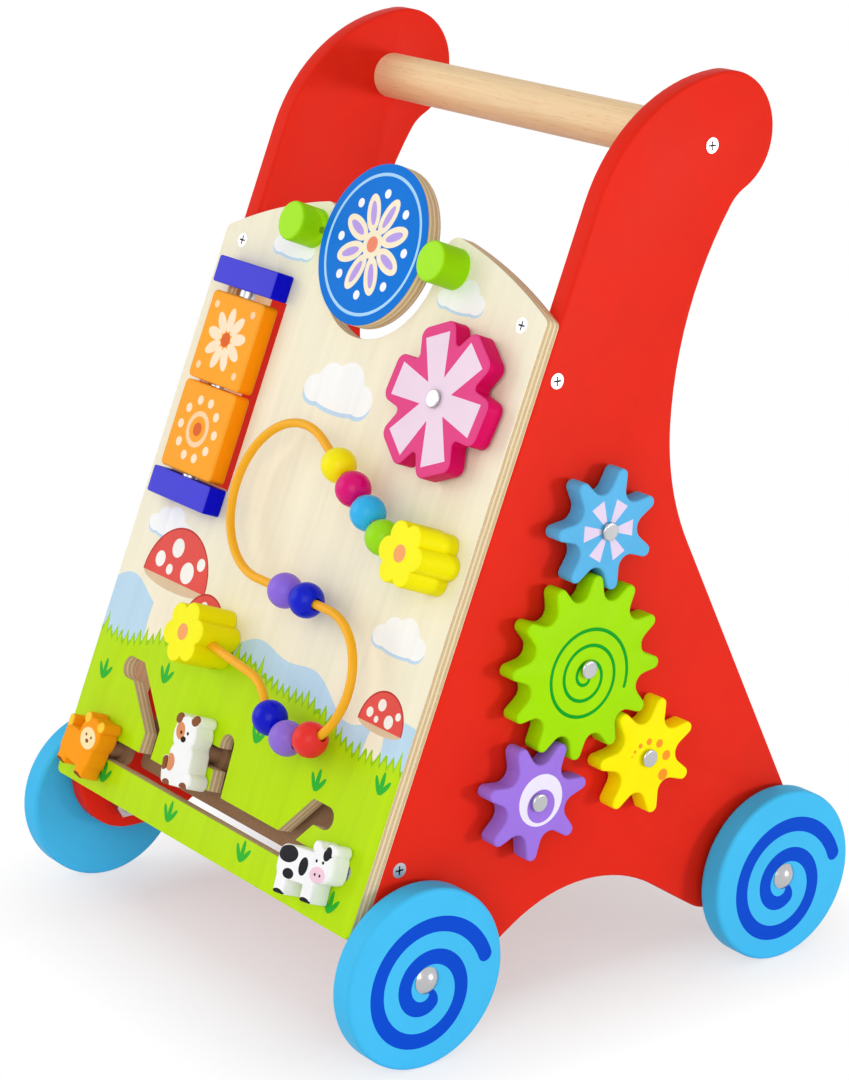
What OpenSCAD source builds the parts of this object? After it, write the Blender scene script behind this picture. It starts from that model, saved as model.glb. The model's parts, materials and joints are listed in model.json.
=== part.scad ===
// Baby push walker: a wooden frame on four wheels with a sloping activity board.
// Millimetres, +Z up, front at -Y, origin on the floor under the middle of the frame.
// Left and right are as seen from the front. Board places are (across, up the slope, out of the face).

/* [Frame] */
// Distance between the outer faces of the two side panels
frame_w = 292; // [280:1:310]
// Thickness of a side panel
panel_t = 12; // [10:0.5:14]
// Height of the panels' feet above the floor
panel_base = 33.7; // [30:0.5:38]
// Radius of the rounded feet of a panel
foot_r = 34.5; // [32:0.5:36]
// Radius of the arch between the feet
arch_r = 92; // [84:1:100]
// Height of the arch's crown above the floor
arch_top = 71.5; // [66:0.5:78]
// Place of the arch's crown along the panel
arch_y = -5; // [-9:1:5]
// Slope of the arch's straight flanks, in degrees
arch_flank = 32.5; // [30:0.5:35]
// Rounding between the arch's flanks and the feet
arch_foot_r = 25; // [10:1:28]
// Slope of the rear edge from upright, in degrees
rear_slope = 28; // [26:0.5:30]
// Place of the waist's rear edge along the panel
waist_y = 40; // [36:1:46]
// Height of the waist
waist_z = 320; // [310:1:330]
// Radius of the rear edge below the waist
waist_low_r = 140; // [125:1:150]
// Radius of the rear edge above the waist
waist_high_r = 210; // [205:1:225]
// Place of the head's centre along the panel
head_y = 68; // [64:1:72]
// Height of the head's centre
head_z = 473; // [465:1:480]
// Radius of the panel's round head
head_r = 33.3; // [31:0.1:36]
// Radius of the hollow under the head
nape_r = 25; // [20:1:30]
// Radius of the shoulder in front of the head
shoulder_r = 97; // [90:1:110]

/* [Handle] */
// Diameter of the handle bar
handle_d = 26; // [20:1:30]
// Place of the handle bar along the panel
handle_y = 58.3; // [54:0.1:64]
// Height of the handle bar
handle_z = 468.1; // [460:0.1:476]

/* [Board] */
// Thickness of the activity board
board_t = 9; // [7:0.5:12]
// How far the board leans back from upright, in degrees
board_lean = 20.4; // [19:0.1:22]
// Place of the board's lower front edge along the frame
board_y = -164.3; // [-168:0.1:-160]
// Height of the board's lower front edge
board_z = 74.3; // [70:0.1:80]
// Length of the board's straight sides, up the slope
board_side = 333.5; // [325:0.5:345]
// Rise of the board's arched top
board_rise = 34.2; // [28:0.1:40]
// Radius of the board's corners
board_corner_r = 4; // [2:0.5:8]
// Width of the battens that join board and panels
batten_w = 12; // [10:0.5:14]
// Depth of the battens behind the board
batten_d = 20; // [16:1:26]
// Distance of the battens' lower ends from the board's lower edge
batten_foot = 8; // [4:1:12]
// How far the battens reach past the top of the board's straight sides
batten_past = 4; // [0:1:6]
// Distance of the lower panel screws from the board's lower edge
panel_screw_low = 41; // [38:1:46]
// Distance of the upper panel screws below the top of the board's straight sides
panel_screw_high = 27.5; // [22:0.5:32]
// Distance of the lower board screws from the board's lower edge
board_screw_low = 31; // [26:1:33]
// Distance of the upper board screws below the top of the board's straight sides
board_screw_high = 6; // [5:0.5:10]

/* [Wheels] */
// Diameter of a wheel
wheel_d = 100; // [90:1:110]
// Thickness of a wheel
wheel_t = 15; // [12:0.5:20]
// Rounding of a wheel's edges
wheel_edge_r = 2.5; // [1:0.5:4]
// Distance between front and rear axles
wheelbase = 253; // [245:1:260]
// Gap between a panel and its wheels
wheel_gap = 3.5; // [2.5:0.1:6]
// Diameter of the axle bolts
axle_d = 8; // [6:0.5:10]
// Diameter of the axle bolts' domed heads
axle_head_d = 15; // [13:0.5:18]
// Height of the axle bolts' domed heads
axle_head_h = 3.2; // [2:0.1:5]
// Width of the axle nuts across the corners
nut_d = 15; // [13:0.5:18]
// Height of the axle nuts
nut_h = 6.5; // [4:0.5:9]
// Diameter of the wheel washers
wheel_washer_d = 18; // [14:1:24]

/* [Gears] */
// Size of the gear teeth: pitch diameter over number of teeth
gear_module = 7.86; // [7.2:0.02:8.2]
// Thickness of a gear
gear_t = 12; // [9:0.5:14]
// Gap between the panel and the gears
gear_gap = 2; // [1.5:0.1:4]
// Place of the big gear along the panel
drive_y = -22.8; // [-30:0.1:-15]
// Height of the big gear
drive_z = 200.1; // [195:0.1:210]
// Direction from the big gear to the upper small gear, in degrees
upper_gear_at = 82.2; // [70:0.1:95]
// Direction from the big gear to the rear small gear, in degrees
rear_gear_at = -52.1; // [-60:0.1:-40]
// Direction from the big gear to the front small gear, in degrees
front_gear_at = -113.7; // [-125:0.1:-110]
// Turn of the big gear at rest, in degrees
drive_turn = 83.8; // [0:0.1:120]
// How far the upper gear lags within the play of the teeth, in degrees
upper_gear_lag = -6; // [-6:0.1:6]
// How far the rear gear lags within the play of the teeth, in degrees
rear_gear_lag = -1; // [-6:0.1:6]
// How far the front gear lags within the play of the teeth, in degrees
front_gear_lag = -2.5; // [-6:0.1:6]
// Diameter of the gear pins
gear_pin_d = 6; // [5:0.5:8]
// Diameter of the gear pins' flat heads
gear_head_d = 10; // [9:0.5:13]
// Height of the gear pins' flat heads
gear_head_h = 2.2; // [1.5:0.1:3]
// Wood left behind the gear pins' holes
gear_pin_wall = 2; // [1.5:0.5:4]
// Diameter of the gear washers
gear_washer_d = 14; // [10:1:18]

/* [Turning disc] */
// Diameter of the turning disc
disc_d = 90; // [80:1:96]
// Thickness of the turning disc
disc_t = 9; // [7:0.5:12]
// Place of the disc's centre above the top of the board's straight sides
disc_s = 12; // [4.5:0.5:16.5]
// Height of the disc's rod out of the board's face
disc_h = 4; // [3:0.5:6]
// Gap between the disc and the notch around it
notch_gap = 5.5; // [3:0.5:8]
// Rounding of the notch's lips
notch_lip_r = 9; // [5:0.5:10]
// Diameter of the disc's rod
disc_rod_d = 4; // [3:0.5:5]
// Distance from the middle of the board to a knob's centre
knob_x = 63.9; // [62:0.1:70]
// Diameter of the knobs
knob_d = 22.5; // [18:0.5:24]
// Height of the knobs
knob_h = 19; // [16:0.5:24]
// Rounding of the knobs' front edges
knob_edge_r = 2; // [1:0.5:4]
// How deep the rod goes into each knob
disc_rod_in = 6; // [4:0.5:7]

/* [Flip tiles] */
// Width of a tile
tile_w = 51; // [46:0.5:52]
// Length of a tile up the slope
tile_l = 51.5; // [48:0.5:53]
// Thickness of a tile
tile_t = 11; // [8:0.5:12]
// Rounding of a tile's corners
tile_r = 3; // [1:0.5:6]
// Distance of the tiles' rod from the board's left edge
tile_x = 48; // [46:0.5:52]
// Distance of the lower bracket's lower edge below the top of the board's straight sides
bracket_s = 159; // [155.5:0.5:163.5]
// Length of a bracket up the slope
bracket_l = 15.5; // [12:0.5:18]
// Height of a bracket out of the board's face
bracket_h = 12.5; // [11:0.5:16]
// Gap between the lower tile and its bracket
tile_low_gap = 1.8; // [1.2:0.1:4]
// Gap between the two tiles
tile_mid_gap = 1.5; // [1.4:0.1:4]
// Gap between the upper tile and its bracket
tile_high_gap = 4.1; // [2:0.1:5]
// Gap between a tile and the sides of its window
window_gap = 3.5; // [2:0.5:4]
// Diameter of the tiles' rod
tile_rod_d = 4; // [3:0.5:5]
// How deep the rod goes into each bracket
tile_rod_in = 10; // [6:0.5:11]
// Diameter of the washers on the tiles' rod
tile_washer_d = 9; // [7:0.5:11]

/* [Flower spinner] */
// Distance of the flower's pin from the board's right edge
flower_x = 49.5; // [48:0.5:54]
// Distance of the flower's pin below the top of the board's straight sides
flower_s = 55.6; // [51.5:0.1:63.5]
// Radius of the flower to its petals' ends
flower_r = 41; // [36:0.5:43]
// Radius of the flower at the notches between petals
flower_root_r = 30; // [25:0.5:32]
// Width of a petal's end
petal_w = 26.4; // [22:0.2:28]
// Rounding of a petal's corners
petal_r = 5.5; // [3:0.5:6]
// Rounding of the notches between petals
petal_notch_r = 2.5; // [1.5:0.5:3]
// Thickness of the flower
flower_t = 11; // [8:0.5:14]
// Gap between the board and the flower
flower_gap = 2.5; // [1.5:0.1:4]
// Turn of the flower at rest, in degrees
flower_turn = -7; // [-30:1:30]
// Diameter of the flower's pin
flower_pin_d = 6; // [4:0.5:8]
// Diameter of the flower pin's head
flower_head_d = 10; // [9:0.5:13]
// Height of the flower pin's head
flower_head_h = 2; // [1.5:0.1:3]
// Diameter of the flower's washer
flower_washer_d = 14; // [11:1:18]

/* [Bead maze] */
// Diameter of the wire
wire_d = 5; // [4:0.1:5.5]
// Height of the wire's centre line out of the board's face
wire_h = 17; // [15:0.5:19]
// Place of the big loop's centre across the board
loop_x = 3; // [0:0.5:6]
// Place of the big loop's centre above the middle of the board's sides
loop_s = 31.75; // [28.25:0.25:35.25]
// Radius of the big loop
loop_r = 43.5; // [41:0.5:46]
// Place of the small loop's centre across the board
curl_x = 70; // [68:0.5:74]
// Radius of the small loop
curl_r = 36; // [34:0.5:38]
// Direction in which the small loop ends, in degrees
curl_end = -140; // [-145:1:-138]
// Radius of the bend before the lower post
tail_r = 30; // [25:1:35]
// Diameter of a bead
bead_d = 19.5; // [17:0.5:20]
// Gap between neighbouring beads
bead_gap = 0.4; // [0.3:0.1:1]
// Diameter of the hole through a bead
bead_hole_d = 6.7; // [6.7:0.1:7.5]
// Distance of the last bead of the upper row from the wire's end in the upper post
upper_row_at = 31.7; // [30.7:0.1:32.7]
// Distance of the first bead of the middle row from the big loop
middle_row_at = 27; // [22:0.5:30]
// Direction of the middle bead of the lower row from the small loop's centre, in degrees
lower_row_at = -91; // [-93:0.5:-88]
// Height of the posts
post_h = 27; // [25:0.5:32]
// Radius of the posts to their lobes
post_r = 18; // [16:0.5:20]
// Radius of one lobe of a post
lobe_r = 7; // [6:0.5:8]
// Distance of the upper post from the board's right edge
upper_post_x = 23; // [21:0.5:25]
// Place of the upper post above the big loop's centre
upper_post_s = -0.3; // [-3.5:0.1:3.5]
// Place of the lower post across the board
lower_post_x = -33; // [-36:0.5:-30]
// Distance of the lower post below the big loop's centre
lower_post_s = 86.2; // [83.5:0.1:88.5]
// How far below the upper post's centre the wire goes in
wire_drop = 11; // [9:0.5:12]
// How far short of the post's centre line the wire ends
wire_short = 8; // [6:0.5:9]

/* [Slot and sliders] */
// Width of the slot
slot_w = 12.5; // [11:0.1:14]
// Place of the main slot up the slope
slot_s = 27; // [24:0.5:30]
// Distance from the board's side edges to the centre of each end of the main slot
slot_reach = 40; // [39:0.5:42]
// Height of the side branches' turns above the main slot
branch_rise = 24.5; // [23:0.5:27]
// Distance of the left branch from the board's left edge
left_branch_x = 77.5; // [74:0.5:80]
// Distance of the left branch's upper turn from the board's left edge
left_branch_turn = 48.5; // [46:0.5:51]
// Distance of the left branch's end from the board's left edge
left_branch_end = 38.5; // [37:0.5:41]
// How far the left branch bends below the height of the turns
left_bend_drop = 3.5; // [3:0.5:6]
// How far the left branch ends above the height of the turns
left_end_rise = 23.5; // [20:0.5:26]
// Place of the middle branch's foot across the board
middle_branch_x = 3.5; // [1:0.5:5]
// How far the middle branch leans to the left
middle_branch_lean = 3; // [0:0.5:4]
// How far the middle branch ends above the height of the turns
middle_end_rise = 9.5; // [6:0.5:12]
// Length of the spur to the left of the middle branch
spur_l = 20; // [17:0.5:22]
// Distance of the right branch's foot from the board's right edge
right_branch_x = 78.5; // [76:0.5:81]
// Distance of the right branch's turn from the board's right edge
right_branch_turn = 58; // [55:0.5:60]
// Distance of the right branch's end from the board's right edge
right_branch_end = 46.5; // [45:0.5:50]
// How far the cow stands from its end of the slot
cow_back = 1; // [0:0.5:2]
// Diameter of the sliders' pegs
peg_d = 10; // [8:0.5:10.5]
// How deep a peg goes into its animal
peg_in = 7; // [5:0.5:9]
// Thickness of the animals
slider_t = 13; // [11:0.5:16]
// Play between the sliders and the two faces of the board
slider_play = 0.5; // [0.3:0.1:0.9]
// Diameter of the retaining discs
keeper_d = 20; // [17:0.5:22]
// Thickness of the retaining discs
keeper_t = 4; // [3:0.5:5]
// Thickness of the guard plate
guard_t = 3; // [2:0.5:5]
// Gap between the retaining discs and the guard plate
guard_gap = 1.5; // [1:0.5:4]
// Distance of the guard plate from the board's left edge
guard_left = 56; // [52:1:60]
// Distance of the guard plate from the board's right edge
guard_right = 31; // [29:1:36]
// How far the guard plate reaches below the middle of the main slot
guard_drop = 4.5; // [2:0.5:6]
// How far the guard plate reaches above the height of the turns
guard_rise = 30; // [26:1:34]
// Rounding of the guard plate's corners
guard_r = 4; // [2:0.5:8]
// Diameter of the guard plate's spacers
spacer_d = 10; // [8:0.5:12]
// Distance of the outer spacers from the guard plate's sides
spacer_in = 22; // [18:1:24]
// Distance of the spacers from the guard plate's upper edge
spacer_drop = 7; // [6:0.5:9]
// Place of the middle spacer across the board
middle_spacer_x = 20; // [16:1:26]
// Board left in front of the guard screws' ends
guard_screw_wall = 3; // [2:0.5:4]

/* [Animals] */
// Turn of the lion about its peg at rest, in degrees
lion_turn = -8; // [-10:1:0]
// Turn of the dog about its peg at rest, in degrees
dog_turn = 9; // [0:1:10]
// Turn of the cow about its peg at rest, in degrees
cow_turn = 7; // [0:1:10]
// Length of the lion's body
lion_l = 32; // [29:0.5:33]
// Depth of the lion's body
lion_deep = 18; // [16:0.5:20]
// Radius of the lion's head
lion_head_r = 10.5; // [9:0.5:12]
// How far the lion's head stands above its body
lion_head_rise = 2; // [0:0.5:4]
// Width of the lion's legs
lion_leg_w = 8.5; // [6:0.5:10]
// How far the lion's legs reach below its body
lion_leg_l = 4.5; // [3:0.5:6]
// Length of the dog's body
dog_l = 24; // [22:0.5:27]
// Width of the dog's body
dog_w = 21; // [18:0.5:23]
// Radius of the dog's head
dog_head_r = 10.5; // [9:0.5:12]
// How far the dog's head stands above its body
dog_head_rise = 5; // [3:0.5:7]
// Width across the dog's paws
dog_paws_w = 28; // [25:0.5:30]
// Depth of the dog's paws
dog_paws_l = 9; // [8:0.5:11]
// Length of the cow's body
cow_l = 35; // [32:0.5:38]
// Depth of the cow's body
cow_deep = 18; // [16:0.5:20]
// Width of the cow's head
cow_head_w = 16; // [14:0.5:18]
// Length of the cow's head
cow_head_l = 18; // [16:0.5:20]
// How far the cow's head stands above the middle of its body
cow_head_rise = 3; // [2:0.5:5]
// Width of the cow's legs
cow_leg_w = 9; // [7:0.5:11]
// How far the cow's legs reach below its body
cow_leg_l = 8.5; // [7:0.5:10]
// How far the legs stand in from the ends of a body
leg_in = 1.6; // [1:0.1:3]
// Rounding of the animals' bodies
animal_r = 6; // [4:0.5:7]
// Rounding of the dog's paws
paws_r = 4; // [3:0.5:4]
// Radius of the animals' ears
ear_r = 3.5; // [3:0.5:4.5]
// Distance of the ears from the middle of a round head
ear_reach = 11; // [10:0.5:12]
// Angle of the ears from upright, in degrees
ear_angle = 43; // [38:1:50]
// Distance of the cow's ears from the middle of its head
cow_ear_x = 5.5; // [4:0.5:7]
// Width of the animals' tails
tail_w = 4; // [3:0.5:5]
// Length of the animals' tails
tail_l = 9.5; // [8:0.5:11]
// Sideways lean of the animals' tails
tail_lean = 1; // [0:0.5:2]

/* [Screws] */
// Shank diameter of the countersunk screws
screw_d = 4; // [3:0.5:5]
// Head diameter of the countersunk screws
screw_head_d = 8.4; // [7:0.2:10]
// How deep the countersunk screws bite into what they hold
screw_bite = 10; // [8:0.5:10]
// Shank diameter of the screws behind the board
rear_screw_d = 3.5; // [3:0.1:4]
// Head diameter of the screws behind the board
rear_head_d = 7; // [6:0.1:7.4]
// Head height of the screws behind the board
rear_head_h = 2.2; // [1.5:0.1:3]
// How deep the rear screws bite into the toys
rear_bite = 8; // [6:0.5:9]

/* [Fits] */
// Clearance around a turning fit, on the radius
run_fit = 0.1; // [0.05:0.01:0.1]
// Clearance around a fixed fit, on the radius
set_fit = 0.05; // [0.02:0.01:0.1]
// Play along the axis of turning pieces
end_play = 0.4; // [0.3:0.1:0.8]

/* [Hidden] */
$fn = 64;
eps = 0.1;

red = [0.90, 0.17, 0.10];
ply = [0.94, 0.88, 0.72];
beech = [0.91, 0.75, 0.53];
steel = [0.78, 0.78, 0.77];
sky = [0.25, 0.70, 0.92];
lime = [0.58, 0.83, 0.05];
sun = [0.98, 0.92, 0.10];
violet = [0.58, 0.40, 0.83];
navy = [0.12, 0.12, 0.75];
orange = [0.98, 0.60, 0.15];
rose = [0.92, 0.30, 0.55];
white = [0.95, 0.95, 0.94];
brown = [0.58, 0.42, 0.28];

// Points, arcs and circles that touch
function polar(c, r, a) = [c[0] + r * cos(a), c[1] + r * sin(a)];
function arc(c, r, from, to, n) = [for (i = [0 : n]) polar(c, r, from + (to - from) * i / n)];
function bearing(p, q) = atan2(q[1] - p[1], q[0] - p[0]);
function dot(p, q) = p[0] * q[0] + p[1] * q[1];
function unit(a) = [cos(a), sin(a)];
// Point at distance d1 from p and d2 from q, to the left (side 1) or right (side -1) of the way from p to q
function meeting(p, d1, q, d2, side) =
    let (d = norm(q - p), along = (d1 * d1 - d2 * d2 + d * d) / (2 * d))
    polar(p, d1, bearing(p, q) + side * acos(along / d1));
// Direction from a circle's centre c to where a line from point p touches it
function touch_at(c, r, p, side) = bearing(c, p) + side * acos(r / norm(p - c));

// Outline of a band along a line of points, with a flat start and a round end
function band_side(points, i, r, side) =
    let (
        last = len(points) - 1,
        before = bearing(points[max(i - 1, 0)], points[max(i, 1)]),
        after = i < last ? bearing(points[i], points[i + 1]) : before,
        half_turn = (after - before) / 2
    )
    polar(points[i], r / cos(half_turn), before + half_turn + side * 90);
function band(points, w) =
    let (
        last = len(points) - 1,
        way = bearing(points[last - 1], points[last])
    )
    concat(
        [for (i = [0 : last - 1]) band_side(points, i, w / 2, -1)],
        arc(points[last], w / 2, way - 90, way + 90, 12),
        [for (i = [last - 1 : -1 : 0]) band_side(points, i, w / 2, 1)]
    );

// Frame: derived places
half_w = frame_w / 2;
inner_x = half_w - panel_t;
up_slope = [sin(board_lean), cos(board_lean)];
out_of_board = 180 - board_lean;
board_back = [board_y, board_z] - board_t * unit(out_of_board);
front_reach = dot(board_back, unit(out_of_board));
low_centre = [waist_y + waist_low_r, waist_z];
high_centre = [waist_y + waist_high_r, waist_z];
rear_reach = dot(low_centre, unit(rear_slope)) - waist_low_r;
foot_z = panel_base + foot_r;
front_foot = [(front_reach - foot_r - foot_z * sin(out_of_board)) / cos(out_of_board), foot_z];
rear_foot = [(rear_reach - foot_r - foot_z * sin(rear_slope)) / cos(rear_slope), foot_z];
arch_centre = [arch_y, arch_top - arch_r];
flank_way = 90 - arch_flank;
flank_foot_z = panel_base + arch_foot_r;
flank_rise = (flank_foot_z - arch_centre[1]) * sin(flank_way);
flank_reach = (arch_r + arch_foot_r - flank_rise) / cos(flank_way);
head = [head_y, head_z];
nape = meeting(high_centre, waist_high_r - nape_r, head, head_r + nape_r, 1);
shoulder_foot = board_back - shoulder_r * unit(out_of_board);
head_along = dot(head - shoulder_foot, up_slope);
head_off = head - shoulder_foot - head_along * up_slope;
shoulder_in = shoulder_r - head_r;
shoulder_along = head_along - sqrt(shoulder_in * shoulder_in - dot(head_off, head_off));
shoulder = shoulder_foot + shoulder_along * up_slope;

panel_outline = concat(
    arc(front_foot, foot_r, out_of_board, 270, 16),
    arc([arch_y - flank_reach, flank_foot_z], arch_foot_r, 270, 270 + arch_flank, 6),
    arc(arch_centre, arch_r, 90 + arch_flank, flank_way, 16),
    arc([arch_y + flank_reach, flank_foot_z], arch_foot_r, 180 + flank_way, 270, 6),
    arc(rear_foot, foot_r, 270, 360 + rear_slope, 16),
    arc(low_centre, waist_low_r, 180 + rear_slope, 180, 12),
    arc(high_centre, waist_high_r, 180, bearing(high_centre, nape), 12),
    arc(nape, nape_r, bearing(high_centre, nape), bearing(nape, head), 6),
    arc(head, head_r, bearing(head, nape), bearing(shoulder, head), 28),
    arc(shoulder, shoulder_r, bearing(shoulder, head), out_of_board, 16)
);

// Fasteners of the frame: places on the side of a panel and on the board
screw_head_h = (screw_head_d - screw_d) / 2;
batten_to = board_side + batten_past;
batten_screw_s = [panel_screw_low, board_side - panel_screw_high];
batten_mid = board_t + batten_d / 2;
function beside_board(s, h) = [board_y, board_z] + s * up_slope + h * unit(out_of_board);
panel_screw_at = concat([for (s = batten_screw_s) beside_board(s, -batten_mid)], [[handle_y, handle_z]]);
board_screw_x = inner_x - batten_w / 2;
board_screw_s = [board_screw_low, board_side - board_screw_high];
board_screw_at = [for (side = [-1, 1], s = board_screw_s) [side * board_screw_x, s]];

// Running gear
axle_z = wheel_d / 2;
axle_at = [[-wheelbase / 2, axle_z], [wheelbase / 2, axle_z]];
wheel_x = half_w + wheel_gap;
axle_head_x = wheel_x + wheel_t + end_play;
axle_end_x = inner_x - nut_h;

// Gear train: the pitch circles touch, and each small gear's gap faces a tooth of the big gear
drive_teeth = 12;
small_teeth = 7;
drive_pitch_r = gear_module * drive_teeth / 2;
small_pitch_r = gear_module * small_teeth / 2;
gear_spread = drive_pitch_r + small_pitch_r;
tooth_tip_r = 0.46 * gear_module;
drive_tip_r = drive_pitch_r + 0.42 * gear_module;
drive_root_r = drive_pitch_r - 1.17 * gear_module;
drive_valley_r = 0.8 * gear_module;
small_tip_r = small_pitch_r + 0.74 * gear_module;
small_root_r = small_pitch_r - 0.93 * gear_module;
small_valley_r = 0.87 * gear_module;
drive_at = [drive_y, drive_z];
function small_gear_at(a) = polar(drive_at, gear_spread, a);
function small_gear_turn(a, lag) =
    let (passed = (drive_turn - a) * drive_teeth / 360)
    a + 180 + (0.5 - passed) * 360 / small_teeth + lag;
gear_at = concat([drive_at], [for (a = [upper_gear_at, rear_gear_at, front_gear_at]) small_gear_at(a)]);
gear_x = half_w + gear_gap;
gear_washer_t = gear_gap - end_play;
gear_pin_in = panel_t - gear_pin_wall;
gear_pin_l = gear_pin_in + gear_gap + gear_t + end_play;

// Outline of a wheel with n teeth or petals: round corners on the tips, round valleys between them
function tooth(n, tip_r, root_r, tip_w, corner_r, valley_r, steps) =
    let (
        corner = [tip_r - corner_r, tip_w / 2 - corner_r],
        valley = (root_r + valley_r) * unit(180 / n),
        lean = bearing(corner, valley) - acos((corner_r + valley_r) / norm(valley - corner)),
        mirrored = [corner[0], -corner[1]]
    )
    concat(
        arc(mirrored, corner_r, -lean, 0, steps),
        arc(corner, corner_r, 0, lean, steps),
        arc(valley, valley_r, 180 + lean, 180 + 360 / n - lean, steps)
    );
function turned(p, a) = [p[0] * cos(a) - p[1] * sin(a), p[0] * sin(a) + p[1] * cos(a)];
function wheel_outline(n, tip_r, root_r, tip_w, corner_r, valley_r, steps) =
    let (one = tooth(n, tip_r, root_r, tip_w, corner_r, valley_r, steps))
    [for (i = [0 : n - 1], p = one) turned(p, 360 * i / n)];

// Board: outline with an arched top and a round-lipped notch for the disc, and the places of its toys
arch_top_r = (half_w * half_w + board_rise * board_rise) / (2 * board_rise);
top_centre = [0, board_side + board_rise - arch_top_r];
corner_x = half_w - board_corner_r;
corner_reach = arch_top_r - board_corner_r;
corner_at = [corner_x, top_centre[1] + sqrt(corner_reach * corner_reach - corner_x * corner_x)];
corner_angle = bearing(top_centre, corner_at);
disc_at = [0, board_side + disc_s];
notch_r = disc_d / 2 + notch_gap;
lip = meeting(disc_at, notch_r + notch_lip_r, top_centre, arch_top_r - notch_lip_r, 1);
lip_from = bearing(top_centre, lip);
lip_to = bearing(disc_at, lip);
board_outline = concat(
    arc([corner_x, board_corner_r], board_corner_r, -90, 0, 6),
    arc(corner_at, board_corner_r, 0, corner_angle, 6),
    arc(top_centre, arch_top_r, corner_angle, lip_from, 16),
    arc(lip, notch_lip_r, lip_from, 180 + lip_to, 8),
    arc(disc_at, notch_r, lip_to, -180 - lip_to, 64),
    arc([-lip[0], lip[1]], notch_lip_r, -lip_to, 180 - lip_from, 8),
    arc(top_centre, arch_top_r, 180 - lip_from, 180 - corner_angle, 16),
    arc([-corner_at[0], corner_at[1]], board_corner_r, 180 - corner_angle, 180, 6),
    arc([-corner_x, board_corner_r], board_corner_r, 180, 270, 6)
);
knob_at = [knob_x, disc_at[1]];
disc_rod_x = knob_x - knob_d / 2 + disc_rod_in;
window_w = tile_w + 2 * window_gap;
bracket_w = window_w;
tile_h = bracket_h / 2;
tile_line = tile_x - half_w;
lower_bracket_s = board_side - bracket_s;
window_s = lower_bracket_s + bracket_l;
lower_tile_s = window_s + tile_low_gap;
upper_tile_s = lower_tile_s + tile_l + tile_mid_gap;
upper_bracket_s = upper_tile_s + tile_l + tile_high_gap;
window_l = upper_bracket_s - window_s;
tile_middle = tile_l / 2;
bracket_screw_x = window_w * 0.3;
flower_at = [half_w - flower_x, board_side - flower_s];
petals = 6;

// Bead maze: a flat wire of straight runs and arcs, aimed at the two posts.
// The runs lap over the ends of the arcs, which are drawn a hair thinner.
wire_lap = 0.5;
wire_thin = 0.04;
loop = [loop_x, board_side / 2 + loop_s];
loop_low = loop[1] - loop_r;
curl = [curl_x, loop_low - curl_r];
tail = polar(curl, curl_r + tail_r, curl_end);
upper_post_at = [half_w - upper_post_x, loop[1] + upper_post_s];
lower_post_at = [lower_post_x, loop[1] - lower_post_s];
wire_in = upper_post_at - [0, wire_drop];
wire_out = lower_post_at;
loop_from = touch_at(loop, loop_r, wire_in, 1);
tail_to = touch_at(tail, tail_r, wire_out, -1);
upper_run = polar(loop, loop_r, loop_from);
lower_run = polar(tail, tail_r, tail_to);
row_way = bearing(upper_run, wire_in);
upper_row = 4;
bead_pitch = bead_d + bead_gap;
bead_step = 2 * asin(bead_pitch / (2 * curl_r));
bead_sag = (curl_r - sqrt(curl_r * curl_r - bead_d * bead_d / 4)) / 2;
lower_row_r = curl_r - bead_sag;
post_screw_x = post_r * 0.55;

// Slot and sliders
slot_end = half_w - slot_reach;
main_slot = concat(
    arc([-slot_end, slot_s], slot_w / 2, 90, 270, 12),
    arc([slot_end, slot_s], slot_w / 2, -90, 90, 12)
);
branch_s = slot_s + branch_rise;
left_branch = [
    [left_branch_x - half_w, slot_s],
    [left_branch_x - half_w, branch_s - left_bend_drop],
    [left_branch_turn - half_w, branch_s + left_end_rise],
    [left_branch_end - half_w, branch_s + left_end_rise]
];
middle_top_x = middle_branch_x - middle_branch_lean;
middle_branch = [[middle_branch_x, slot_s], [middle_top_x, branch_s + middle_end_rise]];
spur_x = middle_branch_x - middle_branch_lean / 2;
spur = [[spur_x, branch_s], [spur_x - spur_l, branch_s]];
right_branch = [
    [half_w - right_branch_x, slot_s],
    [half_w - right_branch_turn, branch_s],
    [half_w - right_branch_end, branch_s]
];
lion_at = [-slot_end, slot_s];
cow_at = [slot_end - cow_back, slot_s];
dog_at = spur[1];
lion_off = [-lion_l * 0.275, -lion_deep * 0.36];
cow_off = [0, -cow_deep * 0.06];
dog_off = [-dog_w * 0.1, -dog_l * 0.4];
peg_from = slider_play + peg_in;
keeper_h = -board_t - slider_play;
peg_to = keeper_h - keeper_t;
guard_h = peg_to - guard_gap;
guard_x = [guard_left - half_w, half_w - guard_right];
guard_s = [slot_s - guard_drop, branch_s + guard_rise];
spacer_x = [guard_x[0] + spacer_in, middle_spacer_x, guard_x[1] - spacer_in];
spacer_at = [for (x = spacer_x) [x, guard_s[1] - spacer_drop]];
bracket_screw_at = [
    for (s = [lower_bracket_s, upper_bracket_s], side = [-1, 1])
        [tile_line + side * bracket_screw_x, s + bracket_l / 2]
];
post_screw_at = [for (p = [upper_post_at, lower_post_at]) p - [post_screw_x, 0]];
toy_screw_at = concat([knob_at, [-knob_at[0], knob_at[1]]], post_screw_at, bracket_screw_at);

// Frames of reference
module on_board(p = [0, 0], h = 0) {
    translate([0, board_y, board_z])
        rotate([90 - board_lean, 0, 0])
            translate([p[0], p[1], h])
                children();
}

module on_side(p = [0, 0], x = 0) {
    translate([x, p[0], p[1]])
        rotate([90, 0, 90])
            children();
}

module both_sides() {
    children();
    mirror([1, 0, 0])
        children();
}

// Shapes that repeat
module rounded_rect(w, l, r) {
    square([w - 2 * r, l], center = true);
    square([w, l - 2 * r], center = true);
    for (x = [-1, 1], y = [-1, 1])
        translate([x * (w / 2 - r), y * (l / 2 - r)])
            circle(r = r);
}

module hole(d, from, to) {
    translate([0, 0, from])
        cylinder(d = d, h = to - from);
}

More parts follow.
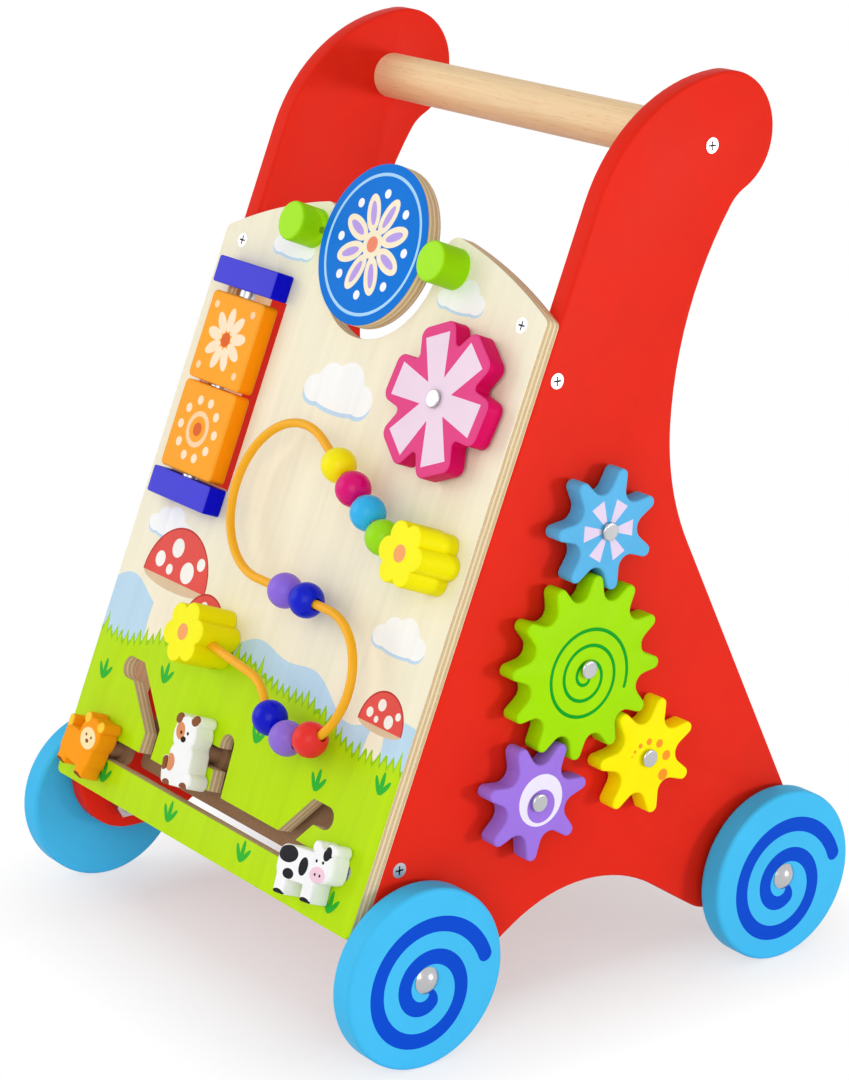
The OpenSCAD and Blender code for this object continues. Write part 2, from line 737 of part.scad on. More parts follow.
// Round disc with rounded edges and a bore, standing on its flat face
module round_disc(d, t, edge_r, bore_d) {
    bore_r = bore_d / 2;
    rotate_extrude() {
        translate([bore_r, 0])
            square([d / 2 - edge_r - bore_r, t]);
        translate([bore_r, edge_r])
            square([d / 2 - bore_r, t - 2 * edge_r]);
        for (z = [edge_r, t - edge_r])
            translate([d / 2 - edge_r, z])
                circle(r = edge_r);
    }
}

module washer(d, t, bore_d) {
    difference() {
        cylinder(d = d, h = t);
        hole(bore_d, -eps, t + eps);
    }
}

// Low dome on a flat base, part of a large ball
module dome(d, h) {
    ball_r = (d * d / 4 + h * h) / (2 * h);
    intersection() {
        translate([0, 0, h - ball_r])
            sphere(r = ball_r, $fn = 96);
        cylinder(d = d, h = h);
    }
}

// Countersunk screw with its head flush at z = 0, pointing down
module countersunk_screw(length) {
    recess = screw_head_d * 0.11;
    difference() {
        union() {
            translate([0, 0, -screw_head_h])
                cylinder(d1 = screw_d, d2 = screw_head_d, h = screw_head_h);
            translate([0, 0, -length])
                cylinder(d = screw_d, h = length - screw_head_h);
        }
        for (a = [0, 90])
            rotate(a)
                translate([-screw_head_d * 0.3, -recess / 2, -screw_head_h * 0.6])
                    cube([screw_head_d * 0.6, recess, screw_head_h]);
    }
}

module countersunk_hole(length) {
    translate([0, 0, -screw_head_h])
        cylinder(d1 = screw_d + 2 * set_fit, d2 = screw_head_d + 2 * set_fit, h = screw_head_h);
    translate([0, 0, -length - set_fit])
        cylinder(d = screw_d + 2 * set_fit, h = length + set_fit);
    cylinder(d = screw_head_d + 2 * set_fit, h = eps);
}

// Round-headed pin: the head's underside at z = 0, the shank pointing down
module headed_pin(d, length, head_d, head_h) {
    translate([0, 0, -length])
        cylinder(d = d, h = length);
    round_disc(head_d, head_h, head_h * 0.4, 0);
}

// Side panels
module panel_body() {
    difference() {
        on_side(x = inner_x)
            linear_extrude(panel_t)
                polygon(panel_outline);
        for (p = panel_screw_at)
            on_side(p, half_w)
                countersunk_hole(panel_t + screw_bite);
        for (p = axle_at)
            on_side(p, inner_x)
                hole(axle_d + 2 * set_fit, -eps, panel_t + eps);
    }
}

module right_panel() {
    color(red)
        difference() {
            panel_body();
            for (p = gear_at)
                on_side(p, half_w)
                    hole(gear_pin_d + 2 * set_fit, -gear_pin_in - set_fit, eps);
        }
}

module left_panel() {
    color(red)
        mirror([1, 0, 0])
            panel_body();
}

module panel_screws() {
    color(steel)
        both_sides()
            for (p = panel_screw_at)
                on_side(p, half_w)
                    countersunk_screw(panel_t + screw_bite);
}

module handle_bar() {
    color(beech)
        difference() {
            on_side([handle_y, handle_z], -inner_x)
                cylinder(d = handle_d, h = 2 * inner_x);
            both_sides()
                on_side([handle_y, handle_z], half_w)
                    countersunk_hole(panel_t + screw_bite);
        }
}

// Activity board
module slot_shape() {
    polygon(main_slot);
    for (branch = [left_branch, middle_branch, spur, right_branch])
        polygon(band(branch, slot_w));
}

module board_openings() {
    translate([tile_line - window_w / 2, window_s])
        square([window_w, window_l]);
    slot_shape();
}

module activity_board() {
    color(ply)
        difference() {
            on_board(h = -board_t)
                linear_extrude(board_t)
                    difference() {
                        polygon(board_outline);
                        board_openings();
                    }
            for (p = board_screw_at)
                on_board(p)
                    countersunk_hole(board_t + screw_bite);
            on_board(flower_at)
                hole(flower_pin_d + 2 * set_fit, -board_t - eps, eps);
            for (p = toy_screw_at)
                on_board(p)
                    hole(rear_screw_d + 2 * set_fit, -board_t - eps, eps);
            for (p = spacer_at)
                on_board(p)
                    hole(rear_screw_d + 2 * set_fit, -board_t - eps, set_fit - guard_screw_wall);
        }
}

module batten(side) {
    color(beech)
        difference() {
            on_board([side * (inner_x - batten_w / 2), batten_foot], -board_t - batten_d)
                translate([-batten_w / 2, 0, 0])
                    cube([batten_w, batten_to - batten_foot, batten_d]);
            for (p = board_screw_at)
                on_board(p)
                    countersunk_hole(board_t + screw_bite);
            both_sides()
                for (p = panel_screw_at)
                    on_side(p, half_w)
                        countersunk_hole(panel_t + screw_bite);
        }
}

module right_batten() {
    batten(1);
}

module left_batten() {
    batten(-1);
}

module board_screws() {
    color(steel)
        for (p = board_screw_at)
            on_board(p)
                countersunk_screw(board_t + screw_bite);
}

// Wheels
module wheel_body(p) {
    color(sky)
        on_side(p, wheel_x)
            round_disc(wheel_d, wheel_t, wheel_edge_r, axle_d + 2 * run_fit);
}

module front_right_wheel() {
    wheel_body(axle_at[0]);
}

module front_left_wheel() {
    mirror([1, 0, 0])
        wheel_body(axle_at[0]);
}

module rear_right_wheel() {
    wheel_body(axle_at[1]);
}

module rear_left_wheel() {
    mirror([1, 0, 0])
        wheel_body(axle_at[1]);
}

module axle_bolts() {
    color(steel)
        both_sides()
            for (p = axle_at) {
                on_side(p, axle_head_x)
                    dome(axle_head_d, axle_head_h);
                on_side(p, axle_end_x)
                    cylinder(d = axle_d, h = axle_head_x - axle_end_x);
            }
}

module axle_nuts() {
    color(steel)
        both_sides()
            for (p = axle_at)
                on_side(p, axle_end_x)
                    difference() {
                        cylinder(d = nut_d, h = nut_h, $fn = 6);
                        hole(axle_d + 2 * set_fit, -eps, nut_h + eps);
                    }
}

module wheel_washers() {
    color(steel)
        both_sides()
            for (p = axle_at)
                on_side(p, half_w)
                    washer(wheel_washer_d, wheel_gap - end_play, axle_d + 2 * set_fit);
}

// Gears
module gear_body(p, turn, teeth, tip_r, root_r, valley_r) {
    on_side(p, gear_x)
        rotate(turn)
            difference() {
                linear_extrude(gear_t)
                    polygon(wheel_outline(teeth, tip_r, root_r, 2 * tooth_tip_r, tooth_tip_r, valley_r, 6));
                hole(gear_pin_d + 2 * run_fit, -eps, gear_t + eps);
            }
}

module small_gear(a, lag) {
    turn = small_gear_turn(a, lag);
    gear_body(small_gear_at(a), turn, small_teeth, small_tip_r, small_root_r, small_valley_r);
}

module drive_gear() {
    color(lime)
        gear_body(drive_at, drive_turn, drive_teeth, drive_tip_r, drive_root_r, drive_valley_r);
}

module upper_gear() {
    color(sky)
        small_gear(upper_gear_at, upper_gear_lag);
}

module rear_gear() {
    color(sun)
        small_gear(rear_gear_at, rear_gear_lag);
}

module front_gear() {
    color(violet)
        small_gear(front_gear_at, front_gear_lag);
}

module gear_pins() {
    color(steel)
        for (p = gear_at)
            on_side(p, gear_x + gear_t + end_play)
                headed_pin(gear_pin_d, gear_pin_l, gear_head_d, gear_head_h);
}

module gear_washers() {
    color(steel)
        for (p = gear_at)
            on_side(p, half_w)
                washer(gear_washer_d, gear_washer_t, gear_pin_d + 2 * set_fit);
}

// Turning disc
module along_rod(x) {
    on_board(disc_at, disc_h)
        translate([x, 0, 0])
            rotate([0, 90, 0])
                children();
}

module turning_disc() {
    color(navy)
        difference() {
            on_board(disc_at, disc_h - disc_t / 2)
                cylinder(d = disc_d, h = disc_t, $fn = 128);
            along_rod(-disc_d)
                cylinder(d = disc_rod_d + 2 * run_fit, h = 2 * disc_d);
        }
}

module disc_rod() {
    color(steel)
        along_rod(-disc_rod_x)
            cylinder(d = disc_rod_d, h = 2 * disc_rod_x);
}

module knob(side) {
    color(lime)
        difference() {
            on_board([side * knob_at[0], knob_at[1]])
                rotate_extrude() {
                    square([knob_d / 2 - knob_edge_r, knob_h]);
                    square([knob_d / 2, knob_h - knob_edge_r]);
                    translate([knob_d / 2 - knob_edge_r, knob_h - knob_edge_r])
                        circle(r = knob_edge_r);
                }
            along_rod(-disc_rod_x - set_fit)
                cylinder(d = disc_rod_d + 2 * set_fit, h = 2 * (disc_rod_x + set_fit));
            toy_screw_holes();
        }
}

module right_knob() {
    knob(1);
}

module left_knob() {
    knob(-1);
}

// Screws that hold the toys from behind
module toy_screw_holes() {
    for (p = toy_screw_at)
        on_board(p)
            hole(rear_screw_d + 2 * set_fit, -board_t, rear_bite + set_fit);
}

module rear_screw(length) {
    cylinder(d = rear_screw_d, h = length);
    mirror([0, 0, 1])
        dome(rear_head_d, rear_head_h);
}

module toy_screws() {
    color(steel)
        for (p = toy_screw_at)
            on_board(p, -board_t)
                rear_screw(board_t + rear_bite);
}

// Flip tiles
module along_slope(s) {
    on_board([tile_line, s], tile_h)
        rotate([-90, 0, 0])
            children();
}

module tile(s) {
    color(orange)
        difference() {
            on_board([tile_line, s + tile_middle], tile_h - tile_t / 2)
                linear_extrude(tile_t)
                    rounded_rect(tile_w, tile_l, tile_r);
            along_slope(s - eps)
                cylinder(d = tile_rod_d + 2 * run_fit, h = tile_l + 2 * eps);
        }
}

module upper_tile() {
    tile(upper_tile_s);
}

module lower_tile() {
    tile(lower_tile_s);
}

module tile_rod() {
    color(steel)
        along_slope(window_s - tile_rod_in)
            cylinder(d = tile_rod_d, h = window_l + 2 * tile_rod_in);
}

module bracket(s) {
    color(navy)
        difference() {
            on_board([tile_line - bracket_w / 2, s])
                cube([bracket_w, bracket_l, bracket_h]);
            along_slope(window_s - tile_rod_in - set_fit)
                cylinder(d = tile_rod_d + 2 * set_fit, h = window_l + 2 * (tile_rod_in + set_fit));
            toy_screw_holes();
        }
}

module upper_bracket() {
    bracket(upper_bracket_s);
}

module lower_bracket() {
    bracket(lower_bracket_s);
}

module tile_washers() {
    low_t = tile_low_gap - end_play;
    mid_t = tile_mid_gap - 2 * end_play;
    high_t = tile_high_gap - end_play;
    bore = tile_rod_d + 2 * set_fit;
    color(steel) {
        along_slope(window_s)
            washer(tile_washer_d, low_t, bore);
        along_slope(lower_tile_s + tile_l + end_play)
            washer(tile_washer_d, mid_t, bore);
        along_slope(upper_bracket_s - high_t)
            washer(tile_washer_d, high_t, bore);
    }
}

// Flower spinner
module flower_spinner() {
    color(rose)
        on_board(flower_at, flower_gap)
            rotate(flower_turn)
                difference() {
                    linear_extrude(flower_t)
                        polygon(wheel_outline(
                            petals, flower_r, flower_root_r, petal_w, petal_r, petal_notch_r, 6
                        ));
                    hole(flower_pin_d + 2 * run_fit, -eps, flower_t + eps);
                }
}

module flower_pin() {
    head_at = flower_gap + flower_t + end_play;
    color(steel)
        on_board(flower_at, head_at)
            headed_pin(flower_pin_d, head_at + board_t, flower_head_d, flower_head_h);
}

module flower_washer() {
    color(steel)
        on_board(flower_at)
            washer(flower_washer_d, flower_gap - end_play, flower_pin_d + 2 * set_fit);
}

// Bead maze
module wire_bar(p, way, length) {
    on_board(p, wire_h)
        rotate([0, 90, way])
            translate([0, 0, -wire_lap])
                cylinder(d = wire_d, h = length + 2 * wire_lap);
}

module wire_run(from, to) {
    wire_bar(from, bearing(from, to), norm(to - from));
}

module wire_arc(centre, r, from, to) {
    on_board(centre, wire_h)
        rotate(from)
            rotate_extrude(angle = to - from, $fn = 96)
                translate([r, 0])
                    circle(d = wire_d - wire_thin);
}

module bead_wire() {
    color(orange) {
        wire_run(upper_run, wire_in + wire_short * unit(row_way + 180));
        wire_arc(loop, loop_r, loop_from, 270);
        wire_run([loop_x, loop_low], [curl_x, loop_low]);
        wire_arc(curl, curl_r, curl_end, 90);
        wire_bar(polar(curl, curl_r, curl_end), curl_end + 90, 0);
        wire_arc(tail, tail_r, curl_end + 180, tail_to);
        wire_run(lower_run, wire_out + wire_short * unit(bearing(wire_out, lower_run)));
    }
}

module post(p, turn, wire_from, wire_to) {
    bore_l = norm(wire_to - wire_from) - wire_short + wire_lap + set_fit;
    color(sun)
        difference() {
            on_board(p)
                linear_extrude(post_h) {
                    circle(r = post_r - lobe_r);
                    for (i = [0 : 5])
                        rotate(turn + 60 * i)
                            translate([post_r - lobe_r, 0])
                                circle(r = lobe_r);
                }
            on_board(wire_from, wire_h)
                rotate([0, 90, bearing(wire_from, wire_to)])
                    cylinder(d = wire_d + 2 * set_fit, h = bore_l);
            toy_screw_holes();
        }
}

module upper_post() {
    post(upper_post_at, 0, upper_run, wire_in);
}

module lower_post() {
    post(lower_post_at, 15, lower_run, wire_out);
}

module bead(p, way) {
    on_board(p, wire_h)
        difference() {
            rotate([0, 90, way])
                sphere(d = bead_d, $fn = 96);
            rotate([0, 90, way])
                translate([0, 0, -bead_d])
                    cylinder(d = bead_hole_d, h = 2 * bead_d);
        }
}

module upper_row_bead(i) {
    bead(wire_in - (upper_row_at + (upper_row - 1 - i) * bead_pitch) * unit(row_way), row_way);
}

module middle_row_bead(i) {
    bead([loop_x + middle_row_at + i * bead_pitch, loop_low], 0);
}

module lower_row_bead(i) {
    a = lower_row_at + i * bead_step;
    bead(polar(curl, lower_row_r, a), a + 90);
}

module yellow_bead() {
    color(sun)
        upper_row_bead(0);
}

module magenta_bead() {
    color(rose)
        upper_row_bead(1);
}

module sky_bead() {
    color(sky)
        upper_row_bead(2);
}

module green_bead() {
    color(lime)
        upper_row_bead(3);
}

module violet_bead() {
    color(violet)
        middle_row_bead(0);
}

module navy_bead() {
    color(navy)
        middle_row_bead(1);
}

module blue_bead() {
    color(navy)
        lower_row_bead(-1);
}

module purple_bead() {
    color(violet)
        lower_row_bead(0);
}

module red_bead() {
    color(red)
        lower_row_bead(1);
}

// Slot sliders: an animal in front, a peg through the slot, a disc behind
module slider(p, off, turn) {
    difference() {
        on_board(p, slider_play)
            rotate(turn)
                translate(off)
                    linear_extrude(slider_t)
                        children();
        on_board(p)
            hole(peg_d + 2 * set_fit, 0, peg_from + set_fit);
    }
}

module peg(p) {
    color(beech)
        on_board(p)
            hole(peg_d, peg_to, peg_from);
}

module keeper(p) {
    color(brown)
        on_board(p, peg_to)
            washer(keeper_d, keeper_t, peg_d + 2 * set_fit);
}

// Two legs under a body, standing in from its ends
module legs(body_l, body_deep, w, l) {
    for (side = [-1, 1])
        translate([side * (body_l / 2 - leg_in - w / 2) - w / 2, -body_deep / 2 - l])
            square([w, body_deep / 2 + l]);
}

module round_head(p, r) {
    translate(p)
        circle(r = r);
    for (side = [-1, 1])
        translate(polar(p, ear_reach, 90 + side * ear_angle))
            circle(r = ear_r);
}

module raised_tail(x, y) {
    polygon(band([[x, y], [x - tail_lean, y + tail_l]], tail_w));
}

module lion_slider() {
    head_at = [lion_l / 2 - lion_head_r + lion_head_rise, lion_deep / 2 + lion_head_rise];
    color(orange)
        slider(lion_at, lion_off, lion_turn) {
            rounded_rect(lion_l, lion_deep, animal_r);
            legs(lion_l, lion_deep, lion_leg_w, lion_leg_l);
            round_head(head_at, lion_head_r);
            raised_tail(-lion_l / 2 + tail_w / 2, lion_deep / 2 - animal_r);
        }
}

module dog_slider() {
    color(white)
        slider(dog_at, dog_off, dog_turn) {
            rounded_rect(dog_w, dog_l, animal_r);
            round_head([0, dog_l / 2 + dog_head_rise], dog_head_r);
            translate([0, (dog_paws_l - dog_l) / 2])
                rounded_rect(dog_paws_w, dog_paws_l, paws_r);
            raised_tail(-dog_w / 2 - tail_w / 2, (dog_paws_l - dog_l) / 2);
        }
}

module cow_slider() {
    head_at = [cow_l / 2, cow_head_rise];
    color(white)
        slider(cow_at, cow_off, cow_turn) {
            rounded_rect(cow_l, cow_deep, animal_r);
            legs(cow_l, cow_deep, cow_leg_w, cow_leg_l);
            translate(head_at)
                rounded_rect(cow_head_w, cow_head_l, animal_r);
            for (side = [-1, 1])
                translate(head_at + [side * cow_ear_x, cow_head_l / 2])
                    circle(r = ear_r);
        }
}

module lion_peg() {
    peg(lion_at);
}

module dog_peg() {
    peg(dog_at);
}

module cow_peg() {
    peg(cow_at);
}

module lion_disc() {
    keeper(lion_at);
}

module dog_disc() {
    keeper(dog_at);
}

module cow_disc() {
    keeper(cow_at);
}

// Guard behind the slot
module guard_plate() {
    w = guard_x[1] - guard_x[0];
    l = guard_s[1] - guard_s[0];
    color(brown)
        difference() {
            on_board([guard_x[0] + w / 2, guard_s[0] + l / 2], guard_h - guard_t)
                linear_extrude(guard_t)
                    rounded_rect(w, l, guard_r);
            for (p = spacer_at)
                on_board(p, guard_h)
                    hole(rear_screw_d + 2 * set_fit, -guard_t - eps, eps);
        }
}

module guard_spacers() {
    color(beech)
        for (p = spacer_at)
            on_board(p, guard_h)
                washer(spacer_d, -board_t - guard_h, rear_screw_d + 2 * set_fit);
}

module guard_screws() {
    bite = board_t - guard_screw_wall;
    color(steel)
        for (p = spacer_at)
            on_board(p, guard_h - guard_t)
                rear_screw(guard_t - board_t - guard_h + bite);
}

right_panel();
left_panel();
activity_board();
right_batten();
left_batten();
handle_bar();
panel_screws();
board_screws();
front_right_wheel();
front_left_wheel();
rear_right_wheel();
rear_left_wheel();
axle_bolts();
axle_nuts();
wheel_washers();
drive_gear();
upper_gear();
rear_gear();
front_gear();
gear_pins();
gear_washers();
turning_disc();
disc_rod();
right_knob();
left_knob();
upper_tile();
lower_tile();
tile_rod();
upper_bracket();
lower_bracket();
tile_washers();
flower_spinner();
flower_pin();
flower_washer();
bead_wire();
upper_post();
lower_post();
yellow_bead();
magenta_bead();
sky_bead();
green_bead();
violet_bead();
navy_bead();
blue_bead();
purple_bead();
red_bead();
lion_slider();
dog_slider();
cow_slider();
lion_peg();
dog_peg();
cow_peg();
lion_disc();
dog_disc();
cow_disc();
guard_plate();
guard_spacers();
guard_screws();
toy_screws();
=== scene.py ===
# %% [markdown]
# # A wooden baby push walker
#
# Two red side panels stand on four wheels and carry a round handle bar and a sloping board full of toys.
# The CAD model already holds every piece at its true size, so this lesson dresses it: edges get the small
# roundings that a sander leaves, and every surface gets its paint, print, veneer or plating.

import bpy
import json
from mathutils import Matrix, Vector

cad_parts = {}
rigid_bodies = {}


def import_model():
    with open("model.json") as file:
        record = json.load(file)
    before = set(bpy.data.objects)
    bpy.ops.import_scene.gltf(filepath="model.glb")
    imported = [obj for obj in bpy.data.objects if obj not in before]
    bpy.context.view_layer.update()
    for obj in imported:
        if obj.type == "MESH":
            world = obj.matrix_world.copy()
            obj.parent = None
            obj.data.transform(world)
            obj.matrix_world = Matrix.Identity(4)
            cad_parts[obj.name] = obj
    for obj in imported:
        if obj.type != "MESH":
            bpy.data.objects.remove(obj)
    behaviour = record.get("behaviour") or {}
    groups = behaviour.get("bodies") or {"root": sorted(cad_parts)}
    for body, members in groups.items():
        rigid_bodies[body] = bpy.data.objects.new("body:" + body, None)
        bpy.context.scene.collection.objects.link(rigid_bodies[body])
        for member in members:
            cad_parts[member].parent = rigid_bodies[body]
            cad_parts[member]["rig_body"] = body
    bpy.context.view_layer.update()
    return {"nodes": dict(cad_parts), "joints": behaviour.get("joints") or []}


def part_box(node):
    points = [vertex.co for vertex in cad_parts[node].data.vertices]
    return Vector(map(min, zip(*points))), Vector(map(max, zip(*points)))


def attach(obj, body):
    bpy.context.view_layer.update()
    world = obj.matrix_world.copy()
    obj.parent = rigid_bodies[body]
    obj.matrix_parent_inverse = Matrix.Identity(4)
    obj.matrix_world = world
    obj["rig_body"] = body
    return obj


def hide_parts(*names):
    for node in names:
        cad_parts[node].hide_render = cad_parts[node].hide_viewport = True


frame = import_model()
nodes = frame["nodes"]
joints = {joint["name"]: joint for joint in frame["joints"]}

# %% [markdown]
# ## Where the board is
#
# Most of the toys sit on the leaning board, so it is handy to think in the board's own directions: across,
# up the slope, and out of its face. The flower's hinge points straight out of the face, which gives the lean,
# and the board's box gives its lower front edge. Blender counts in metres, but drawings of a toy are easier
# to read in millimetres, so the places on the board are given in those.

# %% The board's own directions
import json
import math

import bpy
from mathutils import Matrix, Vector, kdtree

MM = 0.001
board_thickness = 9 * MM
out_of_board = Vector(joints["flower_spin"]["axis"])
board_lean = math.atan2(out_of_board.z, -out_of_board.y)
up_slope = Vector((0, math.sin(board_lean), math.cos(board_lean)))
board_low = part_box("activity_board")[0]
board_foot = Vector((0, board_low.y, board_low.z + board_thickness * math.sin(board_lean)))


def board_place(point):
    """Across, up the slope and out of the face of the board, in millimetres, for a point of the frame."""
    away = (Vector(point) - board_foot) / MM
    return Vector((away.x, away.dot(up_slope), away.dot(out_of_board)))


def board_box(node):
    """Lowest and highest corner of a node in the board's own directions, in millimetres."""
    places = [board_place(vertex.co) for vertex in nodes[node].data.vertices]
    return tuple(Vector(pick(place[axis] for place in places) for axis in range(3)) for pick in (min, max))


print("the board leans back", round(math.degrees(board_lean), 1), "degrees")

# %% [markdown]
# ## Camera
#
# The picture was taken from the right and a little above, with a long lens. The lens follows from the focal
# length in pixels: a 36 mm sensor covers the long side of the picture. A slight roll tilts the whole toy.

# %% Camera
picture_long_side = 1080
focal_pixels = 3105.1
sensor_width_mm = 36
camera_distance = 1.7455
farthest_view = 20
look_at = Vector((0.0039, -0.0133, 0.2294))
azimuth, elevation, roll = (math.radians(angle) for angle in (52.5, 16.6, 1.7))

level = math.cos(elevation)
back = Vector((math.sin(azimuth) * level, -math.cos(azimuth) * level, math.sin(elevation)))
right = Vector((math.cos(azimuth), math.sin(azimuth), 0))
upright = Matrix((right, back.cross(right), back)).transposed()

bpy.ops.object.select_all(action="DESELECT")
bpy.ops.object.camera_add(location=look_at + camera_distance * back)
camera = bpy.context.object
camera.rotation_euler = (Matrix.Rotation(roll, 3, back) @ upright).to_euler()
camera.data.sensor_width = sensor_width_mm
camera.data.lens = focal_pixels / picture_long_side * sensor_width_mm
camera.data.clip_end = farthest_view
bpy.context.scene.camera = camera
print("lens", round(camera.data.lens, 1), "mm")

# %% [markdown]
# ## Building materials from nodes
#
# A material is a small network of nodes. A few helpers keep the networks short: one adds a node and fills or
# links its inputs, one does sums, one lays a colour over another through a mask, and two make and place
# groups. Patterns read Object coordinates, scaled to millimetres. A Mapping node of the Texture kind moves
# and turns the pattern to where it belongs, so a drawing can count from the middle of its own toy.

# %% Node helpers
def srgb(red, green, blue):
    """Linear colour of an 8-bit screen colour, by the sRGB formula."""
    def linear(value):
        share = value / 255
        return share / 12.92 if share <= 0.04045 else ((share + 0.055) / 1.055) ** 2.4
    return (linear(red), linear(green), linear(blue), 1)


def add(tree, kind, inputs=None, **settings):
    """Adds a node with its settings, and links or sets its inputs."""
    made = tree.nodes.new(kind)
    for name, value in settings.items():
        setattr(made, name, value)
    for socket, value in (inputs or {}).items():
        if isinstance(value, bpy.types.NodeSocket):
            tree.links.new(value, made.inputs[socket])
        else:
            made.inputs[socket].default_value = value
    return made


def calc(tree, operation, *values):
    """Result of a Math node."""
    return add(tree, "ShaderNodeMath", dict(enumerate(values)), operation=operation).outputs[0]


def lay(tree, mask, below, above):
    """One colour laid over another where the mask is 1."""
    factor, first_colour, second_colour, mixed_colour = 0, 6, 7, 2
    inputs = {factor: mask, first_colour: below, second_colour: above}
    return add(tree, "ShaderNodeMix", inputs, data_type="RGBA").outputs[mixed_colour]


def noise(tree, place, scale, detail=2.0, distortion=0.0):
    """Cloudy values around one half."""
    inputs = {"Vector": place, "Scale": scale, "Detail": detail, "Distortion": distortion}
    return add(tree, "ShaderNodeTexNoise", inputs).outputs[0]


def spread(tree, value, low, high, to_low, to_high):
    """A value moved from one range to another, and held inside it."""
    inputs = {"Value": value, "From Min": low, "From Max": high, "To Min": to_low, "To Max": to_high}
    return add(tree, "ShaderNodeMapRange", inputs).outputs[0]


print("colours, sums and noise are ready")

# %% Places and groups
def axes(tree, place):
    """The three numbers of a place."""
    return add(tree, "ShaderNodeSeparateXYZ", {0: place}).outputs


def moved(tree, place, origin=(0, 0, 0), turn=(0, 0, 0), scale=(1, 1, 1)):
    """A place counted from a new origin along turned axes."""
    inputs = {"Vector": place, "Location": origin, "Rotation": turn, "Scale": scale}
    return add(tree, "ShaderNodeMapping", inputs, vector_type="TEXTURE").outputs[0]


def group(name, inputs, outputs):
    """A new node group with named sockets: its tree, what it is given and what it puts out."""
    tree = bpy.data.node_groups.new(name, "ShaderNodeTree")
    for direction, sockets in (("INPUT", inputs), ("OUTPUT", outputs)):
        for socket, kind in sockets.items():
            tree.interface.new_socket(socket, in_out=direction, socket_type="NodeSocket" + kind)
    return tree, add(tree, "NodeGroupInput").outputs, add(tree, "NodeGroupOutput")


def put(tree, output, values):
    """Links the results of a group to its outputs."""
    for socket, value in values.items():
        tree.links.new(value, output.inputs[socket])


def use(tree, made_group, inputs):
    """Outputs of a node group placed in a tree."""
    return add(tree, "ShaderNodeGroup", inputs, node_tree=made_group).outputs


print("places and groups are ready")

# %% [markdown]
# ## Paint film
#
# Toy paint is sprayed: it flows out to a satin film with a fine orange peel, and the colour is never quite
# even. One group gives all three, so that every painted piece shares the same hand. A slow cloudy noise
# shifts the colour by a few percent, a finer one breaks up the gloss, and their heights make the peel.

# %% Paint film group
CLOUDS_PER_MM, PEEL_PER_MM, DUST_PER_MM = 0.03, 0.45, 2.2
COLOUR_SHIFT = 0.03
DUST_HEIGHT = 0.12


def make_paint_film():
    tree, given, output = group(
        "paint film",
        {"Place": "Vector", "Colour": "Color", "Roughness": "Float"},
        {"Colour": "Color", "Roughness": "Float", "Height": "Float"},
    )
    cloudy = noise(tree, given["Place"], CLOUDS_PER_MM, 3)
    peel = noise(tree, given["Place"], PEEL_PER_MM, 2)
    dust = noise(tree, given["Place"], DUST_PER_MM, 1)
    shade = spread(tree, cloudy, 0.3, 0.7, 1 - COLOUR_SHIFT, 1 + COLOUR_SHIFT)
    colour = add(tree, "ShaderNodeHueSaturation", {"Value": shade, "Color": given["Colour"]}).outputs[0]
    fine_change = spread(tree, dust, 0.2, 0.8, -0.05, 0.05)
    slow_change = spread(tree, cloudy, 0.3, 0.7, -0.04, 0.04)
    rough = calc(tree, "ADD", given["Roughness"], calc(tree, "ADD", fine_change, slow_change))
    height = calc(tree, "ADD", peel, calc(tree, "MULTIPLY", dust, DUST_HEIGHT))
    put(tree, output, {"Colour": colour, "Roughness": rough, "Height": height})
    return tree


paint_film = make_paint_film()
print("paint film:", len(paint_film.nodes), "nodes")

# %% [markdown]
# ## Wood grain
#
# Grain is noise drawn out along one direction. Three layers make it look like wood and not like a smear:
# broad bands from the growth rings, fine fibres, and the short dark flecks that beech is known by. The grain
# runs along the first axis of the place that the group is given.

# %% Wood grain group
BROAD_STRETCH, FIBRE_STRETCH, FLECK_STRETCH = 22, 45, 7
BROAD_SHARE, FIBRE_SHARE = 0.5, 0.3


def make_wood_grain():
    tree, given, output = group(
        "wood grain",
        {"Place": "Vector", "Light": "Color", "Dark": "Color", "Flecks": "Float"},
        {"Colour": "Color", "Roughness": "Float", "Height": "Float"},
    )
    broad_place, fibre_place, fleck_place = (
        moved(tree, given["Place"], scale=(stretch, 1, 1))
        for stretch in (BROAD_STRETCH, FIBRE_STRETCH, FLECK_STRETCH)
    )
    broad = spread(tree, noise(tree, broad_place, 0.09, 4, 0.8), 0.32, 0.68, 0, 1)
    fibre = spread(tree, noise(tree, fibre_place, 1.3, 3), 0.3, 0.7, 0, 1)
    fleck = spread(tree, noise(tree, fleck_place, 0.9, 1), 0.62, 0.72, 0, 1)
    fleck = calc(tree, "MULTIPLY", fleck, given["Flecks"])
    bands = calc(tree, "MULTIPLY", broad, BROAD_SHARE)
    depth = calc(tree, "ADD", bands, calc(tree, "MULTIPLY", fibre, FIBRE_SHARE))
    depth = calc(tree, "ADD", depth, fleck)
    colour = lay(tree, depth, given["Light"], given["Dark"])
    rough = spread(tree, fibre, 0, 1, 0.42, 0.58)
    height = calc(tree, "SUBTRACT", 1.0, calc(tree, "ADD", calc(tree, "MULTIPLY", fibre, 0.5), fleck))
    put(tree, output, {"Colour": colour, "Roughness": rough, "Height": height})
    return tree


wood_grain = make_wood_grain()
print("wood grain:", len(wood_grain.nodes), "nodes")

# %% [markdown]
# ## Plywood edge
#
# Where plywood is cut, its layers show as stripes: long grain looks pale, end grain looks darker and
# speckled. The stripes follow the depth below the face, the third axis of the place, so every sawn edge shows
# them at the right height without any unwrapping.

# %% Plywood edge group
layer_thickness = 1.5


